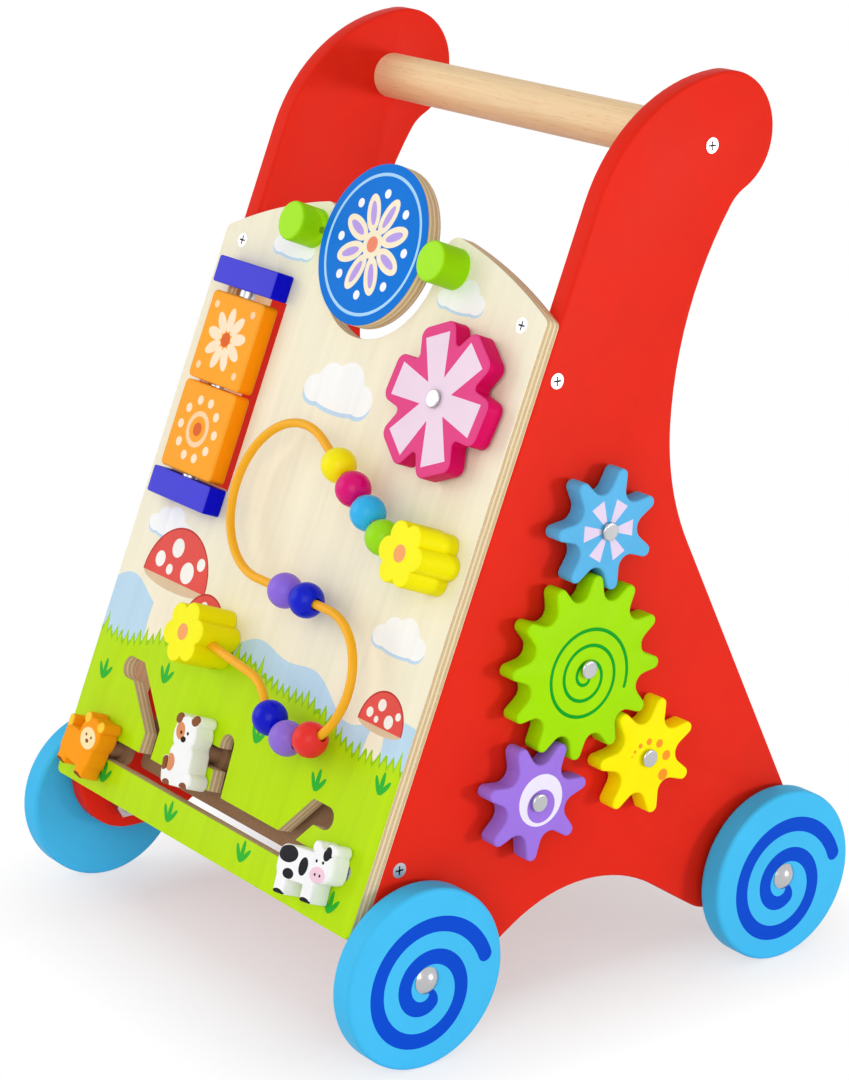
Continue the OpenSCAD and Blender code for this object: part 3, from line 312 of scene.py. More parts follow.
def make_ply_edge():
    tree, given, output = group(
        "plywood edge", {"Place": "Vector"}, {"Colour": "Color", "Roughness": "Float", "Height": "Float"}
    )
    wander = spread(tree, noise(tree, given["Place"], 0.05, 2), 0.3, 0.7, -0.15, 0.15)
    depth = calc(tree, "ADD", axes(tree, given["Place"])[2], wander)
    stripe = calc(tree, "PINGPONG", depth, layer_thickness)
    dark_layer = spread(tree, stripe, 0.45 * layer_thickness, 0.6 * layer_thickness, 0, 1)
    from_joint = calc(tree, "ABSOLUTE", calc(tree, "SUBTRACT", stripe, layer_thickness / 2))
    glue = spread(tree, from_joint, 0.05, 0.16, 1, 0)
    speckle = spread(tree, noise(tree, given["Place"], 1.6, 3), 0.35, 0.65, 0, 1)
    pale = lay(tree, calc(tree, "MULTIPLY", speckle, 0.3), srgb(238, 220, 182), srgb(224, 198, 152))
    dark = lay(tree, speckle, srgb(220, 196, 154), srgb(202, 172, 128))
    colour = lay(tree, dark_layer, pale, dark)
    colour = lay(tree, calc(tree, "MULTIPLY", glue, 0.5), colour, srgb(160, 124, 86))
    rough = spread(tree, speckle, 0, 1, 0.6, 0.8)
    height = calc(tree, "SUBTRACT", 1.0, calc(tree, "MULTIPLY", dark_layer, speckle))
    put(tree, output, {"Colour": colour, "Roughness": rough, "Height": height})
    return tree


ply_edge = make_ply_edge()
print("plywood edge:", len(ply_edge.nodes), "nodes")

# %% [markdown]
# ## Shapes for printed pictures
#
# The prints on the toys are drawn with three simple masks. A spot is an ellipse at a place, of a size and
# with a turn. A rosette folds the plane like a paper snowflake, so one petal is drawn and shows many times. A
# spiral measures how far a point lies from the nearest turn of the line, and rounds its two ends.

# %% Print groups
FULL_TURN = 2 * math.pi


def length(tree, across, up):
    """Length of a flat step."""
    return calc(tree, "SQRT", calc(tree, "MULTIPLY_ADD", across, across, calc(tree, "MULTIPLY", up, up)))


def make_spot():
    numbers = ("Across", "Up", "Centre across", "Centre up", "Half width", "Half height", "Turn")
    tree, given, output = group("spot", dict.fromkeys(numbers, "Float"), {"Mask": "Float"})
    across = calc(tree, "SUBTRACT", given["Across"], given["Centre across"])
    up = calc(tree, "SUBTRACT", given["Up"], given["Centre up"])
    cosine, sine = calc(tree, "COSINE", given["Turn"]), calc(tree, "SINE", given["Turn"])
    wide = calc(tree, "MULTIPLY_ADD", across, cosine, calc(tree, "MULTIPLY", up, sine))
    high = calc(tree, "SUBTRACT", calc(tree, "MULTIPLY", up, cosine), calc(tree, "MULTIPLY", across, sine))
    wide = calc(tree, "DIVIDE", wide, given["Half width"])
    high = calc(tree, "DIVIDE", high, given["Half height"])
    put(tree, output, {"Mask": calc(tree, "LESS_THAN", length(tree, wide, high), 1.0)})
    return tree


def make_rosette():
    numbers = ("Across", "Up", "Petals", "Start")
    outputs = {"Along": "Float", "Aside": "Float", "Radius": "Float"}
    tree, given, output = group("rosette", dict.fromkeys(numbers, "Float"), outputs)
    share = calc(tree, "DIVIDE", calc(tree, "ARCTAN2", given["Up"], given["Across"]), FULL_TURN)
    sector = calc(tree, "MULTIPLY", calc(tree, "SUBTRACT", share, given["Start"]), given["Petals"])
    middle = calc(tree, "SUBTRACT", calc(tree, "FRACT", calc(tree, "ADD", sector, 0.5)), 0.5)
    sector_angle = calc(tree, "DIVIDE", FULL_TURN, given["Petals"])
    angle = calc(tree, "MULTIPLY", calc(tree, "ABSOLUTE", middle), sector_angle)
    radius = length(tree, given["Across"], given["Up"])
    along = calc(tree, "MULTIPLY", radius, calc(tree, "COSINE", angle))
    aside = calc(tree, "MULTIPLY", radius, calc(tree, "SINE", angle))
    put(tree, output, {"Along": along, "Aside": aside, "Radius": radius})
    return tree


def make_spiral():
    numbers = ("Across", "Up", "Start", "First radius", "Pitch", "Turns", "Width")
    tree, given, output = group("spiral", dict.fromkeys(numbers, "Float"), {"Mask": "Float"})
    radius = length(tree, given["Across"], given["Up"])
    angle = calc(tree, "DIVIDE", calc(tree, "ARCTAN2", given["Up"], given["Across"]), FULL_TURN)
    share = calc(tree, "FRACT", calc(tree, "SUBTRACT", angle, given["Start"]))
    turns_out = calc(tree, "DIVIDE", calc(tree, "SUBTRACT", radius, given["First radius"]), given["Pitch"])
    whole = calc(tree, "ROUND", calc(tree, "SUBTRACT", turns_out, share))
    passed = calc(tree, "ADD", whole, share)
    off = calc(tree, "MULTIPLY", calc(tree, "SUBTRACT", turns_out, passed), given["Pitch"])
    before = calc(tree, "MULTIPLY", passed, -1.0)
    after = calc(tree, "SUBTRACT", passed, given["Turns"])
    beyond = calc(tree, "MAXIMUM", calc(tree, "MAXIMUM", before, after), 0.0)
    beyond = calc(tree, "MULTIPLY", beyond, calc(tree, "MULTIPLY", radius, FULL_TURN))
    half_width = calc(tree, "DIVIDE", given["Width"], 2.0)
    put(tree, output, {"Mask": calc(tree, "LESS_THAN", length(tree, off, beyond), half_width)})
    return tree


spot_shape, rosette_shape, spiral_shape = make_spot(), make_rosette(), make_spiral()
print("spot, rosette and spiral groups are made")

# %% Drawing with the masks
def spots(tree, local, drawn):
    """Mask of several ellipses: across, up, half width, half height and turn in degrees of each."""
    mask = None
    for across, up, half_width, half_height, turn in drawn:
        inputs = {"Across": local[0], "Up": local[1], "Centre across": across, "Centre up": up}
        inputs.update({"Half width": half_width, "Half height": half_height, "Turn": math.radians(turn)})
        one = use(tree, spot_shape, inputs)["Mask"]
        mask = one if mask is None else calc(tree, "MAXIMUM", mask, one)
    return mask


def dots(tree, local, drawn):
    """Mask of several round dots: across, up and radius of each."""
    return spots(tree, local, [(across, up, radius, radius, 0) for across, up, radius in drawn])


def rosette(tree, local, petals, start=0.0):
    """Place along and aside of the nearest petal, to draw on, and the distance from the middle."""
    inputs = {"Across": local[0], "Up": local[1], "Petals": float(petals), "Start": start}
    return use(tree, rosette_shape, inputs)


def spiral(tree, local, start, first_radius, pitch, turns, width):
    """Mask of a spiral line; start is a share of a turn."""
    inputs = {"Across": local[0], "Up": local[1], "Start": start, "First radius": first_radius}
    inputs.update({"Pitch": pitch, "Turns": turns, "Width": width})
    return use(tree, spiral_shape, inputs)["Mask"]


def both(tree, first, second):
    """Mask of what lies in both masks."""
    return calc(tree, "MULTIPLY", first, second)


def near_to(tree, value, wanted, reach):
    """Mask of where a value is near the wanted one."""
    return calc(tree, "LESS_THAN", calc(tree, "ABSOLUTE", calc(tree, "SUBTRACT", value, wanted)), reach)


print("spots, dots, rosettes and spirals can be drawn")

# %% [markdown]
# ## Light and a white studio
#
# The photo is a plain catalogue shot. A low lamp to the right and behind throws the shadows of the gears
# forward on the red panel, and two broad lamps at the front light the board and the beads. The world gives
# the rest of the light, and looks pure white to the camera and in reflections. The floor is white as well,
# except close to the toy, where it keeps a soft shadow.

# %% Lamps
def lamp(name, place, size, watts):
    """A square area lamp that looks at the toy."""
    bpy.ops.object.light_add(type="AREA", location=place)
    made = bpy.context.object
    made.name = name
    made.data.size = size
    made.data.energy = watts
    made.rotation_euler = (look_at - Vector(place)).to_track_quat("-Z", "Y").to_euler()


lamp("key_light", (2.05, 1.25, 0.14), 0.42, 18)
lamp("left_fill", (-1.9, -2.1, 1.25), 2.0, 22)
lamp("right_fill", (1.7, -1.8, 1.2), 1.8, 22)
print("three lamps")

# %% World
ambient = 0.56
WHITE = (1, 1, 1, 1)


def shown_ray(tree):
    """1 for rays that look at the studio: from the camera, off gloss or through glass."""
    ray = add(tree, "ShaderNodeLightPath").outputs
    looking = calc(tree, "MAXIMUM", ray["Is Camera Ray"], ray["Is Glossy Ray"])
    return calc(tree, "MAXIMUM", looking, ray["Is Transmission Ray"])


world = bpy.data.worlds.new("white studio")
world.use_nodes = True
bpy.context.scene.world = world
sky = world.node_tree
strength = spread(sky, shown_ray(sky), 0, 1, ambient, 1)
sky.links.new(strength, sky.nodes["Background"].inputs["Strength"])
sky.nodes["Background"].inputs["Color"].default_value = WHITE
bpy.context.scene.view_settings.view_transform = "Standard"
print("a white world that lights with", ambient)

# %% Floor
floor_size = 12
shadow_half_size = (0.10, 0.12)
fade_start, fade_end = 0.01, 0.11
white_near_toy = 0.36


def floor_finish():
    """Floor that keeps a soft shadow close to the toy and turns white further out."""
    made = bpy.data.materials.new("studio floor")
    made.use_nodes = True
    tree = made.node_tree
    matt = tree.nodes["Principled BSDF"]
    matt.inputs["Base Color"].default_value = (0.93, 0.93, 0.95, 1)
    matt.inputs["Roughness"].default_value = 0.9
    matt.inputs["Specular IOR Level"].default_value = 0.1
    place = axes(tree, add(tree, "ShaderNodeTexCoord").outputs["Object"])
    beyond = []
    for axis, half_size in enumerate(shadow_half_size):
        outside = calc(tree, "SUBTRACT", calc(tree, "ABSOLUTE", place[axis]), half_size)
        beyond.append(calc(tree, "MAXIMUM", outside, 0.0))
    fade = spread(tree, length(tree, *beyond), fade_start, fade_end, white_near_toy, 1)
    fade = calc(tree, "MULTIPLY", fade, shown_ray(tree))
    white = add(tree, "ShaderNodeEmission", {"Color": WHITE, "Strength": 1.0})
    blend = add(tree, "ShaderNodeMixShader", {0: fade, 1: matt.outputs[0], 2: white.outputs[0]})
    tree.links.new(blend.outputs[0], tree.nodes["Material Output"].inputs["Surface"])
    return made


bpy.ops.mesh.primitive_plane_add(size=floor_size)
floor = bpy.context.object
floor.name = "studio_floor"
floor.data.materials.append(floor_finish())
print("a floor of", floor_size, "m")

# %% [markdown]
# ## Finishes
#
# A finish is a material plus the print that lies in it. Each one starts from the place in millimetres, asks
# its drawing for a colour, and sends that through the paint film. Toy paint is strong in colour and reflects
# little, so its specular level is low. Only the beads and the wire get a thin clear coat on top.

# %% Starting and ending a material
def start_material(name):
    """A new material: its tree, its main shader and the place in millimetres."""
    made = bpy.data.materials.new(name)
    made.use_nodes = True
    tree = made.node_tree
    place = moved(tree, add(tree, "ShaderNodeTexCoord").outputs["Object"], scale=(MM, MM, MM))
    return made, tree, tree.nodes["Principled BSDF"], place


def end_material(tree, shader, colour, rough, height, relief):
    """Links colour, roughness and a relief in millimetres to the shader."""
    bump = add(tree, "ShaderNodeBump", {"Height": height, "Distance": relief * MM, "Strength": 1.0})
    tree.links.new(colour, shader.inputs["Base Color"])
    tree.links.new(rough, shader.inputs["Roughness"])
    tree.links.new(bump.outputs[0], shader.inputs["Normal"])


print("a material can be started and ended")

# %% Paint, wood and steel
PAINT_SPECULAR, WOOD_SPECULAR = 0.06, 0.25
COAT_ROUGHNESS = 0.12
# Painted shade for the hollows of screw heads.
RECESS_PAINTED_SHADE = srgb(58, 58, 62)


def painted(name, colour, draw=None, rough=0.46, coat=0.0):
    """Paint of one colour, or with a print that draw(tree, place, colour) gives."""
    made, tree, shader, place = start_material(name)
    shown = draw(tree, place, colour) if draw else colour
    film = use(tree, paint_film, {"Place": place, "Colour": shown, "Roughness": rough})
    shader.inputs["Specular IOR Level"].default_value = PAINT_SPECULAR
    shader.inputs["Coat Weight"].default_value = coat
    shader.inputs["Coat Roughness"].default_value = COAT_ROUGHNESS
    end_material(tree, shader, film["Colour"], film["Roughness"], film["Height"], relief=0.02)
    return made


def wooden(name, light, dark, flecks, turn=(0, 0, 0)):
    """Bare varnished wood with its grain along one turned axis."""
    made, tree, shader, place = start_material(name)
    along = moved(tree, place, turn=turn)
    wood = use(tree, wood_grain, {"Place": along, "Light": light, "Dark": dark, "Flecks": flecks})
    shader.inputs["Specular IOR Level"].default_value = WOOD_SPECULAR
    end_material(tree, shader, wood["Colour"], wood["Roughness"], wood["Height"], relief=0.06)
    return made


def plated(name, colour, rough, recess=None):
    """Zinc-plated or nickelled steel with faint scratches, and painted dark as shade where recess(tree,
    place) is 1.
    """
    made, tree, shader, place = start_material(name)
    shown = lay(tree, recess(tree, place), colour, RECESS_PAINTED_SHADE) if recess else colour
    film = use(tree, paint_film, {"Place": place, "Colour": shown, "Roughness": rough})
    fine = noise(tree, moved(tree, place, scale=(4, 1, 1)), 3.0, 3)
    shader.inputs["Metallic"].default_value = 1
    end_material(tree, shader, film["Colour"], film["Roughness"], fine, relief=0.015)
    return made


print("paint, wood and steel are ready")

# %% Toys on the board
on_board = {"origin": tuple(board_foot / MM), "turn": (math.pi / 2 - board_lean, 0, 0)}


def face_with_painted_sheen(name, sheen_face_colour, figure=None, depth=0.6):
    """Drawing for a toy on the board: a printed face on a paler colour than the paint of the edges; the paler
    face is a painted sheen, and the darker edges a painted shade.
    """
    low, high = board_box(name)

    def draw(tree, place, colour):
        local = axes(tree, moved(tree, moved(tree, place, **on_board), tuple((low + high) / 2)))
        above = calc(tree, "SUBTRACT", calc(tree, "ABSOLUTE", local[2]), (high.z - low.z) / 2 - depth)
        shown = figure(tree, local, sheen_face_colour) if figure else sheen_face_colour
        # Painted sheen: the face is laid in a paler colour than the sides.
        return lay(tree, calc(tree, "GREATER_THAN", above, 0.0), colour, shown)
    return draw


def dress(material, *names):
    """Gives a material to CAD nodes."""
    for name in names:
        nodes[name].data.materials.clear()
        nodes[name].data.materials.append(material)


print("toys can be printed and dressed")

# %% [markdown]
# ## Sanded edges
#
# No piece of a wooden toy has a knife edge: each is routed or sanded before painting. A CAD mesh is a bag of
# triangles, so a copy is welded and its flat areas are joined first. Then the sharp edges are picked by angle
# and bevelled. For a flat plate only the two rims are rounded, and edges right next to a screw or pin stay
# crisp, because its hole is cut after sanding. Where bevels meet, faces of no area can be left over, and
# these are dissolved.

# %% Picking the edges
FASTENERS = ("panel_screws", "board_screws", "guard_screws", "toy_screws", "gear_pins", "flower_pin")
CRISP_DISTANCE = 3 * MM
RIM_TOLERANCE = 0.02 * MM

fastener_points = [vertex.co.copy() for name in FASTENERS for vertex in nodes[name].data.vertices]
near_fastener = kdtree.KDTree(len(fastener_points))
for index, point in enumerate(fastener_points):
    near_fastener.insert(point, index)
near_fastener.balance()


def pick_edges(mesh, plate_axis):
    """Of the selected sharp edges, keeps those that a sander reaches."""
    points = [vertex.co for vertex in mesh.vertices]
    depths = [point.dot(plate_axis) for point in points] if plate_axis else []
    rims = (min(depths), max(depths)) if plate_axis else ()
    for edge in mesh.edges:
        if not edge.select:
            continue
        first, second = edge.vertices
        middle = (points[first] + points[second]) / 2
        clear = near_fastener.find(middle)[2] >= CRISP_DISTANCE
        off_rim = [max(abs(depths[first] - rim), abs(depths[second] - rim)) for rim in rims]
        edge.select = clear and (not rims or min(off_rim) < RIM_TOLERANCE)


print(len(fastener_points), "points on fasteners")

# %% Sanding helper
SIDEWAYS = Vector((1, 0, 0))
WELD_DISTANCE = 0.002 * MM
FLAT_ANGLE, SMOOTH_ANGLE, SHARP_ANGLE = (math.radians(angle) for angle in (0.5, 32, 35))
ROUNDING_STEPS = 3


def sanded(name, radius, material, plate_axis=None):
    """A copy of a CAD node with its sharp edges rounded, which then stands for the node."""
    bpy.ops.object.select_all(action="DESELECT")
    piece = bpy.data.objects.new(name + "_sanded", nodes[name].data.copy())
    bpy.context.collection.objects.link(piece)
    piece.select_set(True)
    bpy.context.view_layer.objects.active = piece
    if piece.data.has_custom_normals:
        bpy.ops.mesh.customdata_custom_splitnormals_clear()
    bpy.ops.object.mode_set(mode="EDIT")
    bpy.ops.mesh.select_mode(type="EDGE")
    bpy.ops.mesh.select_all(action="SELECT")
    bpy.ops.mesh.remove_doubles(threshold=WELD_DISTANCE)
    bpy.ops.mesh.dissolve_limited(angle_limit=FLAT_ANGLE)
    bpy.ops.mesh.select_all(action="DESELECT")
    bpy.ops.mesh.edges_select_sharp(sharpness=SHARP_ANGLE)
    bpy.ops.object.mode_set(mode="OBJECT")
    pick_edges(piece.data, plate_axis)
    bpy.ops.object.mode_set(mode="EDIT")
    bpy.ops.mesh.bevel(offset=radius * MM, segments=ROUNDING_STEPS, affect="EDGES", clamp_overlap=False)
    bpy.ops.mesh.select_all(action="SELECT")
    bpy.ops.mesh.dissolve_degenerate(threshold=WELD_DISTANCE)
    bpy.ops.object.mode_set(mode="OBJECT")
    bpy.ops.object.shade_smooth_by_angle(angle=SMOOTH_ANGLE)
    piece.data.materials.clear()
    piece.data.materials.append(material)
    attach(piece, nodes[name]["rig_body"])
    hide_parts(name)
    return piece


print("sanding helper is ready")

# %% [markdown]
# ## Side panels
#
# The panels are thick board with a satin red finish that hides all grain. Their rims are routed round, which
# shows as a thin bright line along every edge in the photo.

# %% Side panels
red_paint = painted("red panel paint", srgb(227, 39, 21))
for panel in ("left_panel", "right_panel"):
    piece = sanded(panel, 1.5, red_paint, SIDEWAYS)
    print(piece.name, len(piece.data.polygons), "faces")

# %% [markdown]
# ## Handle bar and battens
#
# The bar is turned from beech and only varnished, so its grain runs from panel to panel with small dark
# flecks. The battens behind the board are the same wood, with their grain up the slope.

# %% Handle bar and battens
LENGTHWISE_UP_BOARD = (0, board_lean - math.pi / 2, math.pi / 2)
beech_tones = (srgb(250, 222, 176), srgb(226, 182, 130), 0.3)
beech = wooden("varnished beech", *beech_tones)
beech_up = wooden("beech up the board", *beech_tones, LENGTHWISE_UP_BOARD)
dress(beech, "handle_bar")
for batten in ("left_batten", "right_batten"):
    sanded(batten, 1.0, beech_up)
print("bar and battens in beech")

# %% [markdown]
# ## The printed board
#
# The board is birch plywood with a picture printed straight on the pale veneer. The picture here is a plain
# meadow: a low line of blue hills, lime grass with a fringe of blades and leafy tufts, three red toadstools
# and a few clouds. The grain of the veneer shows through the ink. The edges, the notch, the window and the
# slots were sawn after printing, so they show the layers of the plywood.

# %% Drawing helpers for the meadow
def below_line(tree, across, up, height, waves, extra=None):
    """Mask of everything under a wavy line; a wave is its size and length in millimetres, and its start."""
    line = height
    for size, wave_length, start in waves:
        turn = calc(tree, "MULTIPLY_ADD", across, FULL_TURN / wave_length, start)
        line = calc(tree, "ADD", line, calc(tree, "MULTIPLY", calc(tree, "SINE", turn), size))
    if extra:
        line = calc(tree, "ADD", line, extra)
    return calc(tree, "LESS_THAN", up, line)


def cloud(tree, local, colour, across, up, size):
    """Lays one cloud with a pale blue foot over a colour."""
    puffs = ((-19, 0, 9, 7), (-8, 5, 11, 10), (6, 7, 12, 11), (18, 1, 10, 8), (0, -2, 22, 6))
    for drop, tint in ((-2.2, srgb(196, 222, 244)), (0, srgb(252, 252, 250))):
        drawn = [(across + x * size, up + (y + drop) * size, w * size, h * size, 0) for x, y, w, h in puffs]
        colour = lay(tree, spots(tree, local, drawn), colour, tint)
    return colour


def toadstool(tree, local, colour, across, foot, tall, wide):
    """Lays one red toadstool with white dots over a colour."""
    cap = foot + tall * 0.62
    rise = tall * 0.42
    over_brim = calc(tree, "GREATER_THAN", local[1], cap)
    stem = spots(tree, local, [(across, foot + tall * 0.3, wide * 0.2, tall * 0.4, 0),
                               (across, foot + 2, wide * 0.27, tall * 0.1, 0)])
    brim = spots(tree, local, [(across, cap, wide * 0.5, rise * 0.2, 0)])
    line = both(tree, over_brim, spots(tree, local, [(across, cap, wide * 0.5 + 1, rise + 1, 0)]))
    dome = both(tree, over_brim, spots(tree, local, [(across, cap, wide * 0.5, rise, 0)]))
    marks = ((-0.3, 0.3, 0.075), (-0.08, 0.62, 0.09), (0.16, 0.25, 0.1))
    marks += ((0.33, 0.5, 0.06), (-0.12, 0.18, 0.05))
    placed = [(across + x * wide, cap + y * rise, size * wide) for x, y, size in marks]
    white = dots(tree, local, placed)
    for mask, tint in (
        (stem, srgb(250, 240, 214)),
        (brim, srgb(226, 196, 160)),
        (line, srgb(190, 52, 48)),
        (dome, srgb(232, 84, 76)),
        (both(tree, dome, white), srgb(252, 248, 240)),
    ):
        colour = lay(tree, mask, colour, tint)
    return colour


print("cloud and toadstool can be drawn")

# %% The meadow picture
# A cloud is across, up and size; a toadstool across, foot, height and width; a tuft across and up, with
# three leaves that are spots; a wave as for a wavy line.
CLOUDS = ((0, 262, 1.1), (-112, 158, 0.72), (76, 330, 0.7), (112, 152, 0.8), (-78, 332, 0.7))
TOADSTOOLS = ((-92, 86, 72, 62), (-54, 84, 46, 38), (118, 80, 44, 36))
LOW_TUFTS = ((-100, 12), (-30, 11), (42, 12), (124, 12))
HIGH_TUFTS = ((-130, 66), (-72, 80), (24, 74), (84, 66), (134, 80))
LEAVES = ((-3.4, 0, 1.5, 5.4, 34), (0, 1.6, 1.7, 6.2, 2), (3.4, 0, 1.5, 5.2, -36))
HILL_HEIGHT, HILL_WAVES = 114.0, ((8, 150, 0.6), (4, 64, 2.0))
GRASS_TONES = ((97.0, srgb(150, 206, 10)), (94.0, srgb(187, 228, 4)))
GRASS_WAVES = ((8, 280, 1.57), (2.5, 75, 2.4))
BLADE_WIDTH, SHORT_BLADE, TALL_BLADE = 2.9, 2.0, 11.0


def meadow(tree, local, veneer):
    """The whole printed picture, laid over the colour of the veneer."""
    across, up = local[0], local[1]
    colour = veneer
    for where in CLOUDS:
        colour = cloud(tree, local, colour, *where)
    hills = below_line(tree, across, up, HILL_HEIGHT, HILL_WAVES)
    colour = lay(tree, hills, colour, srgb(190, 220, 240))
    for where in TOADSTOOLS:
        colour = toadstool(tree, local, colour, *where)
    along = add(tree, "ShaderNodeCombineXYZ", {"X": across})
    tall = spread(tree, noise(tree, along.outputs[0], 0.16, 2), 0.35, 0.65, SHORT_BLADE, TALL_BLADE)
    blade = calc(tree, "DIVIDE", calc(tree, "PINGPONG", across, BLADE_WIDTH), BLADE_WIDTH)
    fringe = calc(tree, "MULTIPLY", blade, tall)
    for height, green in GRASS_TONES:
        colour = lay(tree, below_line(tree, across, up, height, GRASS_WAVES, fringe), colour, green)
    leaves = [
        (middle + aside, foot + above, half_width, half_height, turn)
        for middle, foot in LOW_TUFTS + HIGH_TUFTS
        for aside, above, half_width, half_height, turn in LEAVES
    ]
    return lay(tree, spots(tree, local, leaves), colour, srgb(44, 182, 48))


print(len(CLOUDS), "clouds and", len(TOADSTOOLS), "toadstools in the meadow")

# %% The board
BOARD_SPECULAR = 0.08
VENEER_DEPTH = 0.35


def board_finish():
    """Printed birch plywood: picture in front, veneer behind, layers on the sawn edges."""
    made, tree, shader, place = start_material("printed birch plywood")
    on_face = moved(tree, place, **on_board)
    local = axes(tree, on_face)
    along = moved(tree, place, turn=LENGTHWISE_UP_BOARD)
    light, dark = srgb(247, 240, 214), srgb(232, 216, 180)
    wood = use(tree, wood_grain, {"Place": along, "Light": light, "Dark": dark, "Flecks": 0.0})
    edge = use(tree, ply_edge, {"Place": on_face})
    ink = meadow(tree, local, light)
    grain = spread(tree, axes(tree, wood["Colour"])[2], dark[2], light[2], 0.9, 1.02)
    shown = add(tree, "ShaderNodeHueSaturation", {"Value": grain, "Color": ink}).outputs[0]
    front = calc(tree, "GREATER_THAN", local[2], -VENEER_DEPTH)
    sawn = calc(tree, "GREATER_THAN", local[2], VENEER_DEPTH - board_thickness / MM)
    colour = lay(tree, front, lay(tree, sawn, wood["Colour"], edge["Colour"]), shown)
    rough = spread(tree, front, 0, 1, 0.62, 0.42)
    ridges = calc(tree, "MULTIPLY", edge["Height"], calc(tree, "SUBTRACT", 1.0, front))
    height = calc(tree, "ADD", wood["Height"], ridges)
    shader.inputs["Specular IOR Level"].default_value = BOARD_SPECULAR
    end_material(tree, shader, colour, rough, height, relief=0.04)
    return made


piece = sanded("activity_board", 0.4, board_finish(), out_of_board)
print(piece.name, len(piece.data.polygons), "faces")

# %% [markdown]
# ## Guard board behind the slot
#
# Through the slot a brown fibreboard shows. It is pressed fibre with no grain, so its finish is a dull brown
# with a fine felted speckle.

# %% Guard board
def fibreboard():
    made, tree, shader, place = start_material("brown fibreboard")
    fibre = noise(tree, place, 1.2, 4, 1.5)
    colour = lay(tree, spread(tree, fibre, 0.3, 0.7, 0, 1), srgb(166, 128, 94), srgb(134, 100, 70))
    rough = spread(tree, fibre, 0.2, 0.8, 0.65, 0.85)
    end_material(tree, shader, colour, rough, fibre, relief=0.05)
    return made


brown_board = fibreboard()
sanded("guard_plate", 0.4, brown_board, out_of_board)
dress(beech_up, "guard_spacers")
print("guard board in brown")

# %% [markdown]
# ## Wheels
#
# The wheels are sky blue with one dark blue spiral printed on the outer face. The spiral's centre lies a
# little off the hub, as in the photo. The print reads the place across the wheel's side, mirrored so that it
# winds the right way round, and it keeps to the outer half of the wheel.

# %% Wheels
FACING_SIDE = (math.pi / 2, 0, math.pi / 2)
SPIRAL_DROP = 6
WHEEL_SPIRAL = {"start": 55 / 360, "first_radius": 7.4, "pitch": 18.0, "turns": 1.8, "width": 8.6}


def side_print(tree, place, name, across=0, up=0, scale=(1, 1, 1)):
    """Place on the outer side of a wheel or gear from its hub, and the mask of that side."""
    low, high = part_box(name)
    middle = (low.x + high.x) / 2 / MM
    hub = Vector(joints[name + "_spin"]["pos_m"]) / MM
    outward = 1 if middle > 0 else -1
    local = axes(tree, moved(tree, place, (middle, hub.y + across, hub.z + up), FACING_SIDE, scale))
    deep = calc(tree, "MULTIPLY", axes(tree, place)[0], outward)
    return local, calc(tree, "GREATER_THAN", deep, abs(middle))


def wheel_spiral(name, outward):
    def draw(tree, place, colour):
        local, outside = side_print(tree, place, name, up=-SPIRAL_DROP, scale=(outward, -1, 1))
        line = spiral(tree, local, **WHEEL_SPIRAL)
        return lay(tree, both(tree, line, outside), colour, srgb(0, 74, 205))
    return draw


for side, outward in (("left", -1), ("right", 1)):
    for end in ("front", "rear"):
        wheel = f"{end}_{side}_wheel"
        dress(painted(wheel + " paint", srgb(68, 190, 241), wheel_spiral(wheel, outward)), wheel)
print("four wheels painted")

# %% [markdown]
# ## Gears
#
# Four wooden gears run on the right panel. Each has one colour and one simple print: a spiral, six wedges, a
# curved row of growing dots, and a thick ring that is set off centre. Their rims are rounded like the rest.

# %% Prints of the gears
GEAR_SPIRAL = {"start": 42 / 360, "first_radius": 2.8, "pitch": 8.77, "turns": 2.94, "width": 2.0}
WEDGE_MIDDLE, WEDGE_HALF_LENGTH, WEDGE_FLARE = 10.75, 5.75, 0.27
DOT_COUNT, DOT_RING_RADIUS = 7, 13.5


def gear_spiral(tree, place, colour):
    local, outside = side_print(tree, place, "drive_gear", -0.7, -4.5, (1, -1, 1))
    line = spiral(tree, local, **GEAR_SPIRAL)
    return lay(tree, both(tree, line, outside), colour, srgb(0, 160, 36))


def gear_wedges(tree, place, colour):
    local, outside = side_print(tree, place, "upper_gear")
    petal = rosette(tree, local, 6, -2 / 360)
    narrow = calc(tree, "LESS_THAN", petal["Aside"], calc(tree, "MULTIPLY", petal["Along"], WEDGE_FLARE))
    wedge = both(tree, narrow, near_to(tree, petal["Along"], WEDGE_MIDDLE, WEDGE_HALF_LENGTH))
    return lay(tree, both(tree, outside, wedge), colour, srgb(230, 212, 238))


def gear_dots(tree, place, colour):
    local, outside = side_print(tree, place, "rear_gear", 0, -4.5)
    drawn = []
    for index in range(DOT_COUNT):
        angle = math.radians(148 - 9.3 * index - 3.5 * index ** 2)
        across, up = DOT_RING_RADIUS * math.cos(angle), DOT_RING_RADIUS * math.sin(angle)
        drawn.append((across, up, 0.5 + 0.47 * index))
    return lay(tree, both(tree, dots(tree, local, drawn), outside), colour, srgb(250, 150, 40))


def gear_ring(tree, place, colour):
    local, outside = side_print(tree, place, "front_gear")
    outer = dots(tree, local, [(1.9, 0.5, 14.5)])
    inner = dots(tree, local, [(2.2, -2.9, 9.3)])
    return lay(tree, both(tree, outside, calc(tree, "SUBTRACT", outer, inner)), colour, srgb(236, 230, 248))


print("spiral, wedges, dots and ring can be drawn")

# %% Gears
for gear, colour, draw in (
    ("drive_gear", srgb(162, 225, 0), gear_spiral),
    ("upper_gear", srgb(92, 181, 230), gear_wedges),
    ("rear_gear", srgb(254, 238, 0), gear_dots),
    ("front_gear", srgb(158, 117, 224), gear_ring),
):
    sanded(gear, 1.2, painted(gear + " paint", colour, draw), SIDEWAYS)
print("four gears painted")

# %% [markdown]
# ## Turning disc and its knobs
#
# The disc is plywood too, printed blue on both faces with a plain cream rosette, and its sawn rim shows the
# layers. It turns on a steel rod held by two lime knobs.

